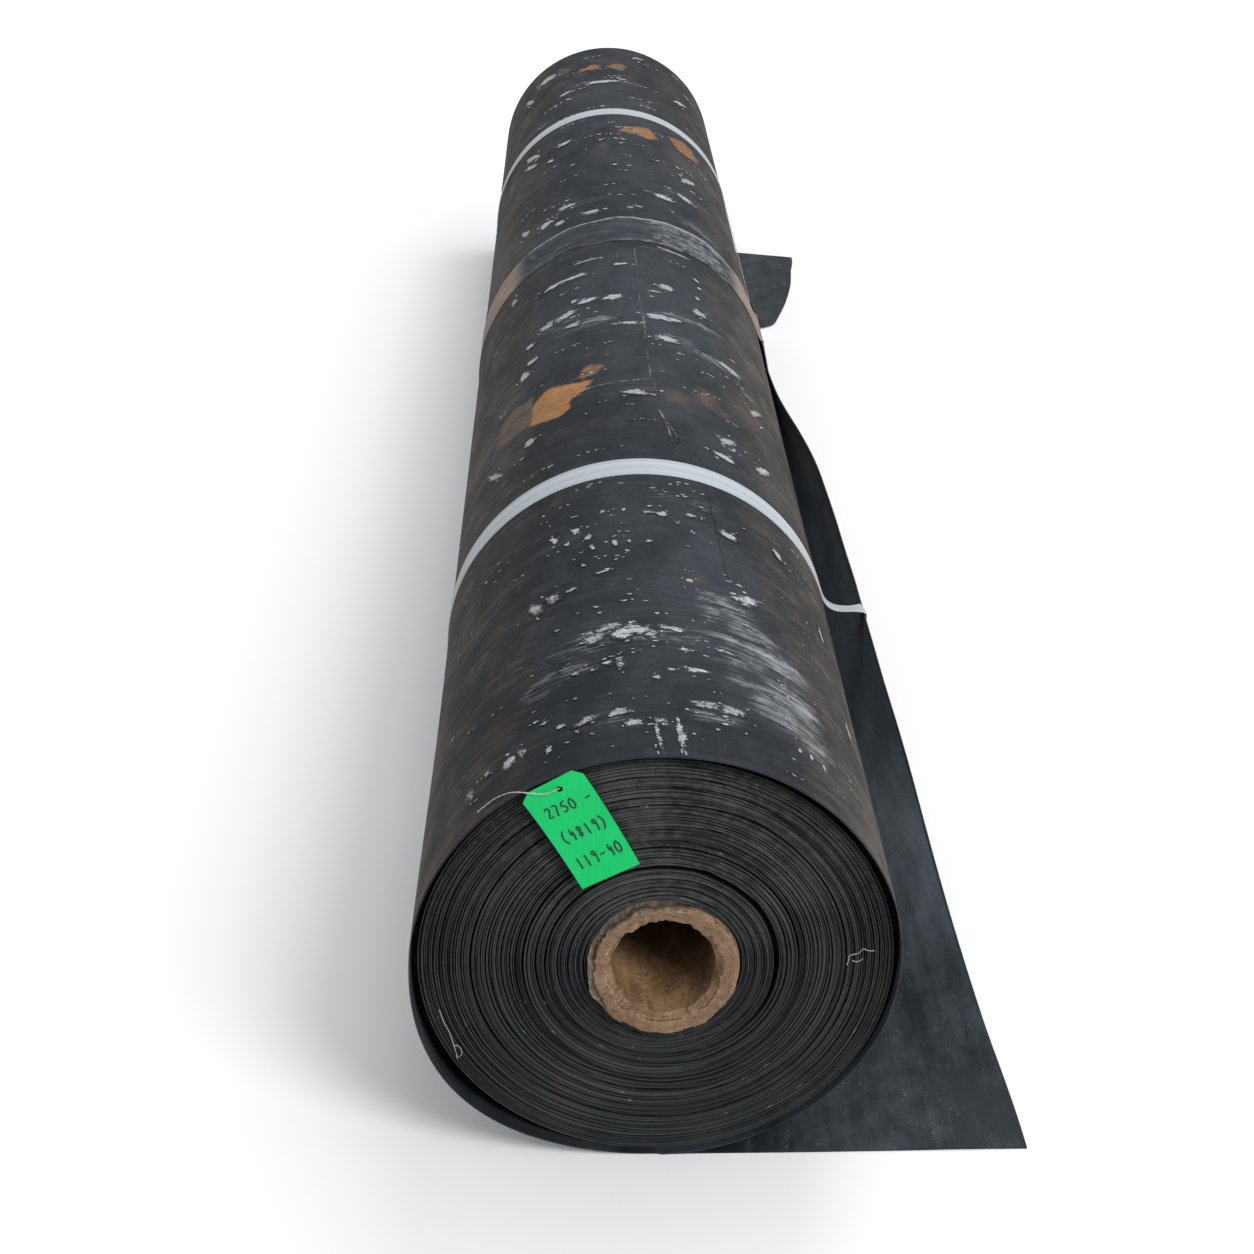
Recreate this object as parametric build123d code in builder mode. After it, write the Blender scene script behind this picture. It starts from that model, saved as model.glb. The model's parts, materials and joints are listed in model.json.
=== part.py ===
from build123d import *
import math
import os

# A roll of EPDM roofing membrane lying on the floor, in millimetres. X points to the side where
# the loose end of the sheet lies, Y runs along the roll and Z is up. The origin is on the floor,
# under the middle of the roll. The front end is the one at -Y.

# The sheet and the roll that it is wound into
sheet_thickness = 1.52
roll_length = 3150.0
roll_radius = 237.5
roll_lift = 0.05

# The cardboard core, a little off centre in the roll and just inside its ends
core_radius = 76.2
core_wall = 25.4
core_set_back = 1.0
core_out = 6.0
core_sag = 3.0
core_clearance = 0.2
hole_margin = 1.0
core_ply = 5.0
core_ply_torn = 7.0

# The turns on the ends of the roll
end_recess = 14.0
end_ripple = 2.6
turn_groups = 12
slack_band = 6.0
turns_drop = 5.6
slack_depth = 38.0
lap_wall = 1.6

# The outer lap stands off the turns at the lower left of the front end: how far, between which
# angles round the roll, how far back along it, and how many sections draw it
loose_lap_gap = 10.6
loose_lap_from = 176.0
loose_lap_to = 264.0
loose_lap_length = 620.0
loose_lap_sections = 5
loose_lap_points = 7
loose_lap_bury = 0.1

# The loose end of the sheet: its root under the roll, and how full its curve is
root_reach = 50.0
root_height = 2.4
root_back = 6.0
tail_root_out = 42.0
tail_root_up = 1.06
tail_bow = 0.39
section_step = 80.0
trim_margin = 30.0

# Where the straps and the band hold the free edge up: its height above the middle of the roll,
# its height where it lies on the floor, and half of the stretch that each of them holds straight
held_rise = 57.5
lying_height = 0.9
strap_hold = 30.0
band_hold = 100.0

# Where the free edge of the sheet runs, from front to rear. The first value is a place between
# the ends of those stretches, as the number of the last one passed and the share of the way to
# the next. Then come the level gap between the roll and the edge, the share of the held height
# that the edge stands at, and the slope of the sheet at its root and edge.
tail_stations = [
    (0.0, 359.3, 0.0, 0.0, 0.0),
    (0.239, 234.7, 0.1228, 2.0, 22.0),
    (0.554, 101.2, 0.507, 6.0, 62.0),
    (0.79, 59.5, 0.796, 9.0, 82.0),
    (1.0, 49.3, 0.9388, 9.0, 91.0),
    (2.0, 49.3, 0.9388, 9.0, 91.0),
    (2.167, 46.3, 0.9728, 9.0, 93.0),
    (2.384, 42.3, 0.9966, 9.0, 95.0),
    (2.587, 27.9, 1.0, 10.0, 98.0),
    (2.798, 9.1, 1.0, 10.6, 103.0),
    (3.0, 5.3, 0.9966, 10.6, 104.0),
    (4.0, 5.3, 0.9966, 10.6, 104.0),
    (4.325, 9.5, 0.7994, 10.0, 95.0),
    (4.679, 87.6, 0.3506, 8.0, 30.0),
    (5.0, 261.0, 0.0122, 8.0, -50.0),
    (6.0, 262.0, 0.0122, 8.0, -50.0),
    (6.119, 339.5, 0.0024, 3.0, -12.0),
    (6.323, 373.3, 0.0, 0.0, 0.0),
    (6.562, 397.3, 0.0, 0.0, 0.0),
    (7.0, 415.3, 0.0, 0.0, 0.0),
]

# The rear edge of the loose end, cut back from square: how far out, and how far from the end
rear_trim = [(70.0, -1.0), (316.0, 56.0), (450.0, 102.0)]

# Straps and the worn band round the roll
strap_width = 47.0
strap_thickness = 1.2
strap_gap = 0.3
band_gap = 0.6
strap_floor_gap = 0.1
front_strap_inset = 674.0
rear_strap_inset = 638.0
band_place = 110.0
bed_margin = 1.0
bed_back = 32.0

# The band's front and rear edges seen from above, slanted and wider to the right: how far from
# the band's middle line each one is at its left and right ends, which lie outside the roll
band_front = (-92.0, -50.0)
band_rear = (28.0, 98.0)
band_left_margin = 22.5
band_right_margin = 92.5

# Where the front strap and the band leave the roll for the edge of the sheet
front_leave_angle = 16.5
front_span_drop = 34.0
front_span_run = 26.0
band_leave_angle = 20.0
band_span_drop = 14.0
band_span_run = 2.0

# The tag and the wire that ties it to the outer lap
tag_length = 115.0
tag_width = 58.5
tag_thickness = 0.6
tag_corner = 13.0
tag_hole_radius = 3.2
tag_hole_inset = 12.0
tag_hole_from_rim = 14.2
tag_hole_angle = 114.3
tag_turn = -63.0
tag_lean = 6.0
tag_hole_back = 0.7
wire_radius = 0.5
wire_lift = 1.3
wire_sides = 8
wire_rim_rise = 2.8

half_length = roll_length / 2
half_sheet = sheet_thickness / 2
core_bore_radius = core_radius - core_wall
band_left = -(roll_radius + band_left_margin)
band_right = roll_radius + band_right_margin
front_end = -half_length
rear_end = half_length
core_length = roll_length - 2 * core_set_back
core_up = roll_radius - core_sag
front_strap_place = front_end + front_strap_inset
rear_strap_place = rear_end - rear_strap_inset


# The middle of the sheet's section at a station, moved sideways by offset, towards the roll
def sheet_line(edge_out, edge_up, root_slope, edge_slope, offset):
    root_angle = math.radians(root_slope)
    edge_angle = math.radians(edge_slope)
    chord = math.hypot(edge_out - tail_root_out, edge_up - tail_root_up)
    reach = tail_bow * chord - offset * 4 / 3 * math.tan((edge_angle - root_angle) / 4)
    root_way = Vector(math.cos(root_angle), math.sin(root_angle))
    edge_way = Vector(math.cos(edge_angle), math.sin(edge_angle))
    root_side = Vector(-root_way.Y, root_way.X)
    edge_side = Vector(-edge_way.Y, edge_way.X)
    start = Vector(tail_root_out, tail_root_up) + root_side * offset
    finish = Vector(edge_out, edge_up) + edge_side * offset
    return [start, start + root_way * reach, finish - edge_way * reach, finish]


# The plane across the roll at a place along it, with its own X and Y along the part's X and Z
def cross_plane(place):
    return Plane(origin=(0, place, 0), x_dir=(1, 0, 0), z_dir=(0, -1, 0))


# The ends of the roll and of the stretches that the straps and the band hold straight
held_ends = [
    front_end,
    front_strap_place - strap_hold,
    front_strap_place + strap_hold,
    band_place - band_hold,
    band_place + band_hold,
    rear_strap_place - strap_hold,
    rear_strap_place + strap_hold,
    rear_end,
]


# One row of the table as a place along the roll, the edge's distance out and height, and slopes
def edge_row(stretch, level_gap, height_share, root_slope, edge_slope):
    passed = min(int(stretch), len(held_ends) - 2)
    start, finish = held_ends[passed : passed + 2]
    place = start + (finish - start) * (stretch - passed)
    held_height = roll_radius + held_rise - lying_height
    edge_up = lying_height + height_share * held_height
    roll_side = math.sqrt(roll_radius**2 - (edge_up - roll_radius) ** 2)
    return (place, roll_side + level_gap, edge_up, root_slope, edge_slope)


edge_rows = [edge_row(*station) for station in tail_stations]


# The slope of one column of the rows at a row, level where it turns back
def column_slope(row, column):
    if row == 0 or row == len(edge_rows) - 1:
        return 0.0
    before, here, after = edge_rows[row - 1 : row + 2]
    rise_in = (here[column] - before[column]) / (here[0] - before[0])
    rise_out = (after[column] - here[column]) / (after[0] - here[0])
    if rise_in * rise_out <= 0:
        return 0.0
    return 2 * rise_in * rise_out / (rise_in + rise_out)


# The sheet's sizes at any place along the roll, eased from row to row
def station_at(place):
    row = 0
    while edge_rows[row + 1][0] < place:
        row += 1
    gap = edge_rows[row + 1][0] - edge_rows[row][0]
    share = (place - edge_rows[row][0]) / gap
    sizes = []
    for column in range(1, 5):
        start = edge_rows[row][column]
        finish = edge_rows[row + 1][column]
        start_bend = column_slope(row, column) * gap
        finish_bend = column_slope(row + 1, column) * gap
        sizes.append(
            start * (1 + 2 * share) * (1 - share) ** 2
            + start_bend * share * (1 - share) ** 2
            + finish * share**2 * (3 - 2 * share)
            - finish_bend * share**2 * (1 - share)
        )
    return sizes


# The places of the sheet's sections: every row, and more between rows far apart
section_places = [edge_rows[0][0]]
for before, after in zip(edge_rows, edge_rows[1:]):
    steps = math.ceil((after[0] - before[0]) / section_step)
    for step in range(1, steps + 1):
        section_places.append(before[0] + (after[0] - before[0]) * step / steps)


# The loose end: one sheet lofted through its sections along the roll
with BuildPart() as tail:
    for place in section_places:
        sizes = station_at(place)
        with BuildSketch(cross_plane(place)):
            with BuildLine():
                under = Bezier(*sheet_line(*sizes, -half_sheet))
                over = Bezier(*sheet_line(*sizes, half_sheet))
                Line(under @ 0, over @ 0)
                Line(under @ 1, over @ 1)
            make_face()
    loft(ruled=True)
    with BuildSketch(Plane.XY.offset(-1)):
        with BuildLine():
            rear_edge = Polyline(*[(out, rear_end - inset) for out, inset in rear_trim])
            Polyline(
                rear_edge @ 1,
                (rear_trim[-1][0], rear_end + trim_margin),
                (rear_trim[0][0], rear_end + trim_margin),
                rear_edge @ 0,
            )
        make_face()
    extrude(amount=40, mode=Mode.SUBTRACT)


# A point at an angle round the roll, at a distance from its middle
def round_roll(distance, angle):
    return Vector(0, roll_radius) + Vector(distance, 0).rotate(Axis.Z, angle)


# The loose stretch of the outer lap: one wall lofted from where it stands off the turns at the
# front end to where it lies back on them
with BuildPart() as loose_lap:
    for section in range(loose_lap_sections):
        share = section / (loose_lap_sections - 1)
        gap = loose_lap_gap * (1 - share) ** 2 * (1 + 2 * share)
        outside, inside = [], []
        for number in range(loose_lap_points):
            turn = number / (loose_lap_points - 1)
            angle = loose_lap_from + (loose_lap_to - loose_lap_from) * turn
            distance = roll_radius - roll_lift - loose_lap_bury
            distance += gap * math.sin(math.pi * turn) ** 2
            outside.append(round_roll(distance, angle))
            inside.append(round_roll(distance - sheet_thickness, angle))
        with BuildSketch(cross_plane(front_end + loose_lap_length * share)):
            with BuildLine():
                Spline(*outside)
                Spline(*inside)
                Line(outside[0], inside[0])
                Line(outside[-1], inside[-1])
            make_face()
    loft(ruled=True)


# The wound sheet as one turned solid, with its root, its loose end and the turns on its ends
with BuildPart() as membrane:
    with BuildSketch(cross_plane(0)):
        with Locations((0, roll_radius)):
            Circle(roll_radius - roll_lift)
        with Locations((-root_back, 0)):
            Rectangle(root_back + root_reach, root_height, align=(Align.MIN, Align.MIN))
    extrude(amount=half_length, both=True)
    add(tail.part)
    with BuildSketch(cross_plane(0)):
        with Locations((core_out, core_up)):
            Circle(core_radius + core_clearance)
    extrude(amount=half_length + hole_margin, both=True, mode=Mode.SUBTRACT)

    # Every group of turns stands at its own depth inside the outer lap, and rests on its bottom
    turns_outer = roll_radius - lap_wall - slack_band
    turns_middle = roll_radius - turns_drop
    group_step = (turns_outer - core_radius) / turn_groups
    for way in (-1, 1):
        end_plane = Plane(origin=(0, way * half_length, 0), x_dir=(1, 0, 0), z_dir=(0, way, 0))
        with BuildSketch(end_plane):
            with Locations((0, -way * roll_radius)):
                Circle(roll_radius - lap_wall)
            with Locations((0, -way * turns_middle)):
                Circle(turns_outer, mode=Mode.SUBTRACT)
        extrude(amount=-slack_depth, mode=Mode.SUBTRACT)
        for group in range(turn_groups):
            turns_radius = core_radius + (group + 1) * group_step
            share = (group + 1) / turn_groups
            turns_out = core_out * (1 - share)
            turns_up = core_up * (1 - share) + turns_middle * share
            depth = end_recess + end_ripple * math.sin(2.3 * group + way)
            with BuildSketch(end_plane):
                with Locations((turns_out, -way * turns_up)):
                    Circle(turns_radius)
            extrude(amount=-depth, mode=Mode.SUBTRACT)

    # The outer lap is open where its loose stretch stands off, which then takes its place
    open_from = loose_lap_from + (loose_lap_to - loose_lap_from) / loose_lap_points
    open_to = loose_lap_to - (loose_lap_to - loose_lap_from) / loose_lap_points
    open_reach = 2 * roll_radius
    with BuildSketch(cross_plane(front_end)):
        with Locations((0, roll_radius)):
            Circle(roll_radius)
        with Locations((0, turns_middle)):
            Circle(turns_outer, mode=Mode.SUBTRACT)
        with BuildLine():
            Polyline(
                (0, roll_radius),
                round_roll(open_reach, open_from),
                round_roll(open_reach, open_to),
                close=True,
            )
        make_face(mode=Mode.INTERSECT)
    extrude(amount=-slack_depth, mode=Mode.SUBTRACT)
    add(loose_lap.part)

    # The straps and the band bed into the underside where the roll lies on them
    bed_height = strap_floor_gap + strap_thickness + strap_gap
    for place, width in (
        (front_strap_place, strap_width),
        (rear_strap_place, strap_width),
        (band_place, 2 * band_hold),
    ):
        with BuildSketch(cross_plane(place)):
            with Locations((-bed_back, 0)):
                Rectangle(bed_back + root_reach, 2 * bed_height, align=(Align.MIN, Align.CENTER))
        extrude(amount=width / 2 + bed_margin, both=True, mode=Mode.SUBTRACT)


# The core, a cardboard tube with its outer plies torn back at both ends
with BuildPart() as core_tube:
    with BuildSketch(cross_plane(0)):
        with Locations((core_out, core_up)):
            Circle(core_radius)
            Circle(core_bore_radius, mode=Mode.SUBTRACT)
    extrude(amount=core_length / 2, both=True)
    for way in (-1, 1):
        torn_plane = Plane(
            origin=(core_out, way * core_length / 2, core_up), x_dir=(1, 0, 0), z_dir=(0, way, 0)
        )
        with BuildSketch(torn_plane):
            Circle(core_radius)
            Circle(core_radius - core_ply, mode=Mode.SUBTRACT)
        extrude(amount=-core_ply_torn, mode=Mode.SUBTRACT)


# The area inside a line that wraps the roll and hangs over the edge of the sheet, at a gap
def wrapped_face(place, gap, floor_level, leave_angle, span_drop, span_run):
    edge_out, edge_up, root_slope, edge_slope = station_at(place)
    radius = roll_radius + gap
    edge_radius = half_sheet + gap
    edge = Vector(edge_out, edge_up)
    edge_way = Vector(1, 0).rotate(Axis.Z, edge_slope)
    edge_side = edge_way.rotate(Axis.Z, 90)
    tip = edge + edge_way * edge_radius
    centre = Vector(0, roll_radius)
    leave = centre + Vector(radius, 0).rotate(Axis.Z, leave_angle)
    leave_way = Vector(0, -1).rotate(Axis.Z, leave_angle)
    far_side = centre + Vector(radius, 0).rotate(Axis.Z, (leave_angle + 270) / 2)
    under = sheet_line(*station_at(place), -edge_radius)[::-1]
    with BuildSketch() as face:
        with BuildLine():
            Bezier(leave, leave + leave_way * span_drop, tip + edge_side * span_run, tip)
            ThreePointArc(
                tip, edge + (edge_way - edge_side).normalized() * edge_radius, under[0]
            )
            Bezier(*under)
            Line(under[-1], centre - Vector(0, radius))
            ThreePointArc(centre - Vector(0, radius), far_side, leave)
        make_face()
        with Locations((0, floor_level)):
            Rectangle(
                3 * roll_radius, roll_radius, align=(Align.CENTER, Align.MAX), mode=Mode.SUBTRACT
            )
    return face.sketch


# The area inside a taut line round the roll and the edge of the sheet, at a gap
def taut_face(place, gap, floor_level):
    edge_out, edge_up = station_at(place)[:2]
    with BuildSketch() as face:
        with BuildLine():
            CenterArc((0, roll_radius), roll_radius + gap, 0, 360)
            CenterArc((edge_out, edge_up), half_sheet + gap, 0, 360)
        make_hull()
        with Locations((0, floor_level)):
            Rectangle(
                3 * roll_radius, roll_radius, align=(Align.CENTER, Align.MAX), mode=Mode.SUBTRACT
            )
    return face.sketch


strap_outer = strap_gap + strap_thickness
band_outer = band_gap + strap_thickness
strap_floor_top = strap_floor_gap + strap_thickness
front_hang = (front_leave_angle, front_span_drop, front_span_run)
band_hang = (band_leave_angle, band_span_drop, band_span_run)

with BuildPart() as strap_front:
    with BuildSketch(cross_plane(front_strap_place)):
        add(wrapped_face(front_strap_place, strap_outer, strap_floor_gap, *front_hang))
        add(
            wrapped_face(front_strap_place, strap_gap, strap_floor_top, *front_hang),
            mode=Mode.SUBTRACT,
        )
    extrude(amount=strap_width / 2, both=True)

with BuildPart() as strap_rear:
    with BuildSketch(cross_plane(rear_strap_place)):
        add(taut_face(rear_strap_place, strap_outer, strap_floor_gap))
        add(taut_face(rear_strap_place, strap_gap, strap_floor_top), mode=Mode.SUBTRACT)
    extrude(amount=strap_width / 2, both=True)

with BuildPart() as middle_band:
    with BuildSketch(cross_plane(band_place)):
        add(wrapped_face(band_place, band_outer, strap_floor_gap, *band_hang))
        add(
            wrapped_face(band_place, band_gap, strap_floor_top, *band_hang),
            mode=Mode.SUBTRACT,
        )
    extrude(amount=2 * band_hold, both=True)
    with BuildSketch(Plane.XY.offset(-1)):
        with BuildLine():
            front_side = Line(
                (band_left, band_place + band_front[0]), (band_right, band_place + band_front[1])
            )
            rear_side = Line(
                (band_left, band_place + band_rear[0]), (band_right, band_place + band_rear[1])
            )
            Line(front_side @ 0, rear_side @ 0)
            Line(front_side @ 1, rear_side @ 1)
        make_face()
    extrude(amount=3 * roll_radius, mode=Mode.INTERSECT)


# Where the tag's hole is, just inside the outer lap
tag_hole = round_roll(roll_radius - tag_hole_from_rim, tag_hole_angle)

# The tag hangs over the front end, leaning on the outer lap and on the turns inside it
tag_way = Vector(1, 0, 0).rotate(Axis.Z, tag_lean).rotate(Axis.Y, -tag_turn)
tag_normal = Vector(0, -1, 0).rotate(Axis.Z, tag_lean).rotate(Axis.Y, -tag_turn)
tag_hole_place = front_end + tag_hole_back
tag_plane = Plane(
    origin=(tag_hole.X, tag_hole_place, tag_hole.Y), x_dir=tag_way, z_dir=tag_normal
)
with BuildPart() as tag:
    with BuildSketch(tag_plane):
        with BuildLine():
            top = -tag_hole_inset
            side = tag_width / 2
            Polyline(
                (top, -side + tag_corner),
                (top + tag_corner, -side),
                (top + tag_length, -side),
                (top + tag_length, side),
                (top + tag_corner, side),
                (top, side - tag_corner),
                close=True,
            )
        make_face()
        Circle(tag_hole_radius, mode=Mode.SUBTRACT)
    extrude(amount=tag_thickness / 2, both=True)


# The height of the wire's middle where it lies on the outer lap
def on_lap(out):
    return roll_radius + math.sqrt((roll_radius + wire_lift) ** 2 - out**2)


# The wire through the tag's hole, over the lap's edge and along its outer face
wire_run = [-41.0, -50.0, -64.0, -77.0]
wire_points = [
    (tag_hole.X, front_end + 3.0, tag_hole.Y),
    (tag_hole.X - 0.5, front_end - 2.6, tag_hole.Y + 0.2),
    (tag_hole.X - 22.0, front_end - 2.8, tag_hole.Y - 2.5),
    (tag_hole.X + wire_run[0], front_end + 0.5, on_lap(tag_hole.X + wire_run[0]) + wire_rim_rise),
    (tag_hole.X + wire_run[1], front_end + 12.0, on_lap(tag_hole.X + wire_run[1])),
    (tag_hole.X + wire_run[2], front_end + 19.0, on_lap(tag_hole.X + wire_run[2])),
    (tag_hole.X + wire_run[3], front_end + 17.0, on_lap(tag_hole.X + wire_run[3])),
]


# The radius of the bend at each inner point of the wire, as large as its two runs allow
def bend_radii(points):
    radii = []
    for before, here, after in zip(points, points[1:], points[2:]):
        run_in = Vector(*here) - Vector(*before)
        run_out = Vector(*after) - Vector(*here)
        turn = math.radians(run_in.get_angle(run_out))
        radii.append(0.45 * min(run_in.length, run_out.length) / math.tan(turn / 2))
    return radii


with BuildPart() as tag_wire:
    with BuildLine():
        wire_path = FilletPolyline(*wire_points, radius=bend_radii(wire_points))
    with BuildSketch(Plane(origin=wire_path @ 0, z_dir=wire_path % 0)):
        RegularPolygon(wire_radius, wire_sides)
    sweep()

os.makedirs("parts", exist_ok=True)

membrane.part.label = "membrane"
export_step(membrane.part, "parts/membrane.step")

core_tube.part.label = "core_tube"
export_step(core_tube.part, "parts/core_tube.step")

strap_front.part.label = "strap_front"
export_step(strap_front.part, "parts/strap_front.step")

strap_rear.part.label = "strap_rear"
export_step(strap_rear.part, "parts/strap_rear.step")

middle_band.part.label = "middle_band"
export_step(middle_band.part, "parts/middle_band.step")

tag.part.label = "tag"
export_step(tag.part, "parts/tag.step")

tag_wire.part.label = "tag_wire"
export_step(tag_wire.part, "parts/tag_wire.step")
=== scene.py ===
import json
import math
from types import SimpleNamespace

import bmesh
import bpy
import numpy as np
from bpy.props import FloatProperty, FloatVectorProperty, IntProperty, PointerProperty
from mathutils import Matrix, Vector
from mathutils.geometry import convex_hull_2d

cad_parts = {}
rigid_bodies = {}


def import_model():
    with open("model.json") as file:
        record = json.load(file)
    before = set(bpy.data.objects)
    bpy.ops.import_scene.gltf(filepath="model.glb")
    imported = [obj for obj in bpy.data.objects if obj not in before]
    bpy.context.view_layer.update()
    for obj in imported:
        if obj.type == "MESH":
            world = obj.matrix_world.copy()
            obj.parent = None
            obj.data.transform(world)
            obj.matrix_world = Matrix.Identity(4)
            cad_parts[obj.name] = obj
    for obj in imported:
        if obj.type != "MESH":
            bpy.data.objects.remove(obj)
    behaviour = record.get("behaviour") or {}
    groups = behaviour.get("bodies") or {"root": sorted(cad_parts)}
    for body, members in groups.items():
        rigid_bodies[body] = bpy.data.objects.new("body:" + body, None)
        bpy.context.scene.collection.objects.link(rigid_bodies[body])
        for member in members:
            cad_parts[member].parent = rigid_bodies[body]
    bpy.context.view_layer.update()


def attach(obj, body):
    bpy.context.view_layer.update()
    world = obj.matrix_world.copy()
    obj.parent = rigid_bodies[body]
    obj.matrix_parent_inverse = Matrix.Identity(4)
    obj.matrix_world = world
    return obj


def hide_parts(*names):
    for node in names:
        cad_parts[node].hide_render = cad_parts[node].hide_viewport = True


bl_info = {
    "name": "Strapped Membrane Roll",
    "version": (1, 0, 0),
    "blender": (4, 5, 0),
    "location": "View3D > Sidebar > Membrane Roll",
    "description": "Dresses a strapped roll of rubber membrane on its cardboard core",
    "category": "Object",
}

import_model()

MM = 0.001

# Places along the roll in millimetres: its front end, its straps and the band round its middle
FRONT, FRONT_STRAP, REAR_STRAP, BAND = -1575.0, -901.0, 937.0, 110.0
# How far the core lies out of and below the roll's middle, and how far faces stay off the floor
CORE_OUT, CORE_DOWN, FLOOR_GAP = 6.0, 3.0, 0.02

# Where the free edge of the loose end runs, in millimetres: the place along the roll, how far
# out and how high the edge is, and the slope of the sheet at its root and at its edge
EDGE_ROWS = [
    (-1575.0, 380.0, 0.9, 0.0, 0.0),
    (-1421.0, 362.0, 37.0, 2.0, 22.0),
    (-1218.0, 322.0, 150.0, 6.0, 62.0),
    (-1066.0, 297.0, 235.0, 9.0, 82.0),
    (-931.0, 283.5, 277.0, 9.0, 91.0),
    (-871.0, 283.5, 277.0, 9.0, 91.0),
    (-724.0, 278.6, 287.0, 9.0, 93.0),
    (-533.0, 273.0, 294.0, 9.0, 95.0),
    (-354.0, 258.3, 295.0, 10.0, 98.0),
    (-168.0, 239.5, 295.0, 10.6, 103.0),
    (10.0, 236.0, 294.0, 10.6, 104.0),
    (210.0, 236.0, 294.0, 10.6, 104.0),
    (436.0, 242.5, 236.0, 10.0, 95.0),
    (683.0, 284.0, 104.0, 8.0, 30.0),
    (868.0, 317.0, 8.0, 8.0, -36.0),
    (896.0, 316.0, 4.5, 8.0, -46.0),
    (908.0, 307.0, 4.5, 8.0, -50.0),
    (964.0, 308.0, 4.5, 8.0, -50.0),
    (974.0, 330.0, 3.2, 5.0, -30.0),
    (992.0, 349.0, 2.4, 4.0, -24.0),
    (1039.0, 364.0, 1.6, 3.0, -12.0),
    (1163.0, 394.0, 0.9, 0.0, 0.0),
    (1309.0, 418.0, 0.9, 0.0, 0.0),
    (1575.0, 436.0, 0.9, 0.0, 0.0),
]
# How far out and how high the sheet's section starts, and how much it bows
ROOT_OUT, ROOT_UP, TAIL_BOW = 42.0, 1.06, 0.39
# How far back the sheet's rear edge reaches, as distance out and place
REAR_TRIM = [(70.0, 1576.0), (316.0, 1519.0), (450.0, 1473.0)]
# The part of the sheet that reaches on under the roll, as distance out and height
ROOT = [(6.0, 0.8), (18.0, 0.8), (30.0, 0.9)]

# Stains on the roll as outlines of angle from its top, in degrees, and place along it: how
# strong each is, from bare rubber to full tan
STAINS = [
    (1.0, [(-35.2, -657), (-35.1, -601), (-32.8, -579), (-29.1, -558), (-20.2, -572),
           (-13.2, -585), (-15.3, -621), (-20.2, -640), (-21.0, -663), (-23.5, -679),
           (-32.3, -674)]),
    (0.42, [(-50.9, -628), (-47.8, -574), (-43.4, -545), (-33.5, -555), (-34.5, -600),
            (-34.5, -652), (-39.2, -653), (-47.0, -650)]),
    (0.55, [(-18.5, -564), (-15.1, -528), (-8.6, -534), (-11.1, -562), (-16.0, -573)]),
    (0.75, [(3.5, 780), (5.0, 819), (14.1, 837), (17.8, 839), (21.9, 772), (16.2, 756),
            (12.7, 763)]),
    (0.6, [(27.5, 841), (31.1, 796), (33.8, 761), (44.5, 784), (42.1, 859), (36.5, 875)]),
    (0.7, [(-16.0, 1372), (-9.0, 1402), (-4.4, 1390), (-5.5, 1352), (-14.0, 1358)]),
    (0.55, [(-1.4, 1373), (4.7, 1408), (9.1, 1395), (7.5, 1332), (1.0, 1350)]),
]
# Soft smudges: angle, place, reach round the roll and along it, and strength
SMUDGES = [
    (14.0, -648, 22, 26, 0.5), (25.0, -622, 20, 38, 0.62), (31.0, -648, 14, 22, 0.5),
    (3.0, -634, 26, 7, 0.5), (-8.0, -493, 4, 10, 0.7), (-14.6, -484, 5, 7, 0.5),
    (16.0, 1370, 14, 18, 0.35), (-15.0, 1330, 18, 14, 0.4), (-27.0, 1310, 24, 30, 0.35),
    (-5.0, 660, 10, 40, 0.35), (32.0, 690, 40, 60, 0.25), (24.0, 560, 30, 40, 0.22),
    (-62.0, -1548, 40, 14, 0.5), (-47.0, -1558, 26, 10, 0.35), (14.0, -1195, 10, 12, 0.35),
    (-40.0, -1440, 20, 30, 0.2), (40.0, -560, 34, 60, 0.2), (18.0, 1040, 18, 26, 0.25),
]
# Brushed white haze: angle, place, reach round the roll and along it, and strength
HAZES = [
    (17.0, -1255, 22, 44, 0.42), (27.0, -1290, 36, 26, 0.5), (35.0, -1330, 36, 30, 0.6),
    (39.0, -1400, 30, 34, 0.75), (33.0, -1445, 44, 22, 0.75), (42.0, -1470, 26, 20, 0.6),
    (24.0, -1405, 30, 12, 0.5), (-12.0, -1325, 34, 20, 0.46), (-22.0, -1380, 36, 26, 0.32),
    (-30.0, -1400, 26, 34, 0.22), (-8.0, -1498, 26, 14, 0.3), (14.0, -1490, 34, 18, 0.3),
    (-14.0, -345, 60, 30, 0.35), (16.0, -420, 40, 24, 0.45), (32.0, -440, 60, 26, 0.4),
    (24.0, -305, 60, 14, 0.5), (-26.0, -300, 40, 34, 0.35), (12.0, -330, 34, 20, 0.3),
    (26.0, -1330, 60, 60, 0.4), (35.0, -1410, 50, 70, 0.42), (21.0, -1245, 34, 34, 0.4),
    (-18.0, -1350, 60, 40, 0.22), (4.0, -1335, 60, 26, 0.25),
    (44.0, -500, 26, 60, 0.25), (18.2, -999, 24, 24, 0.25), (7.1, -986, 18, 14, 0.3),
    (30.0, 410, 50, 20, 0.3), (-14.0, 300, 60, 30, 0.2), (4.0, 1225, 90, 18, 0.3),
    (-32.0, 1430, 60, 50, 0.35), (36.0, 240, 60, 40, 0.3), (38.0, 900, 60, 40, 0.15),
]

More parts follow.
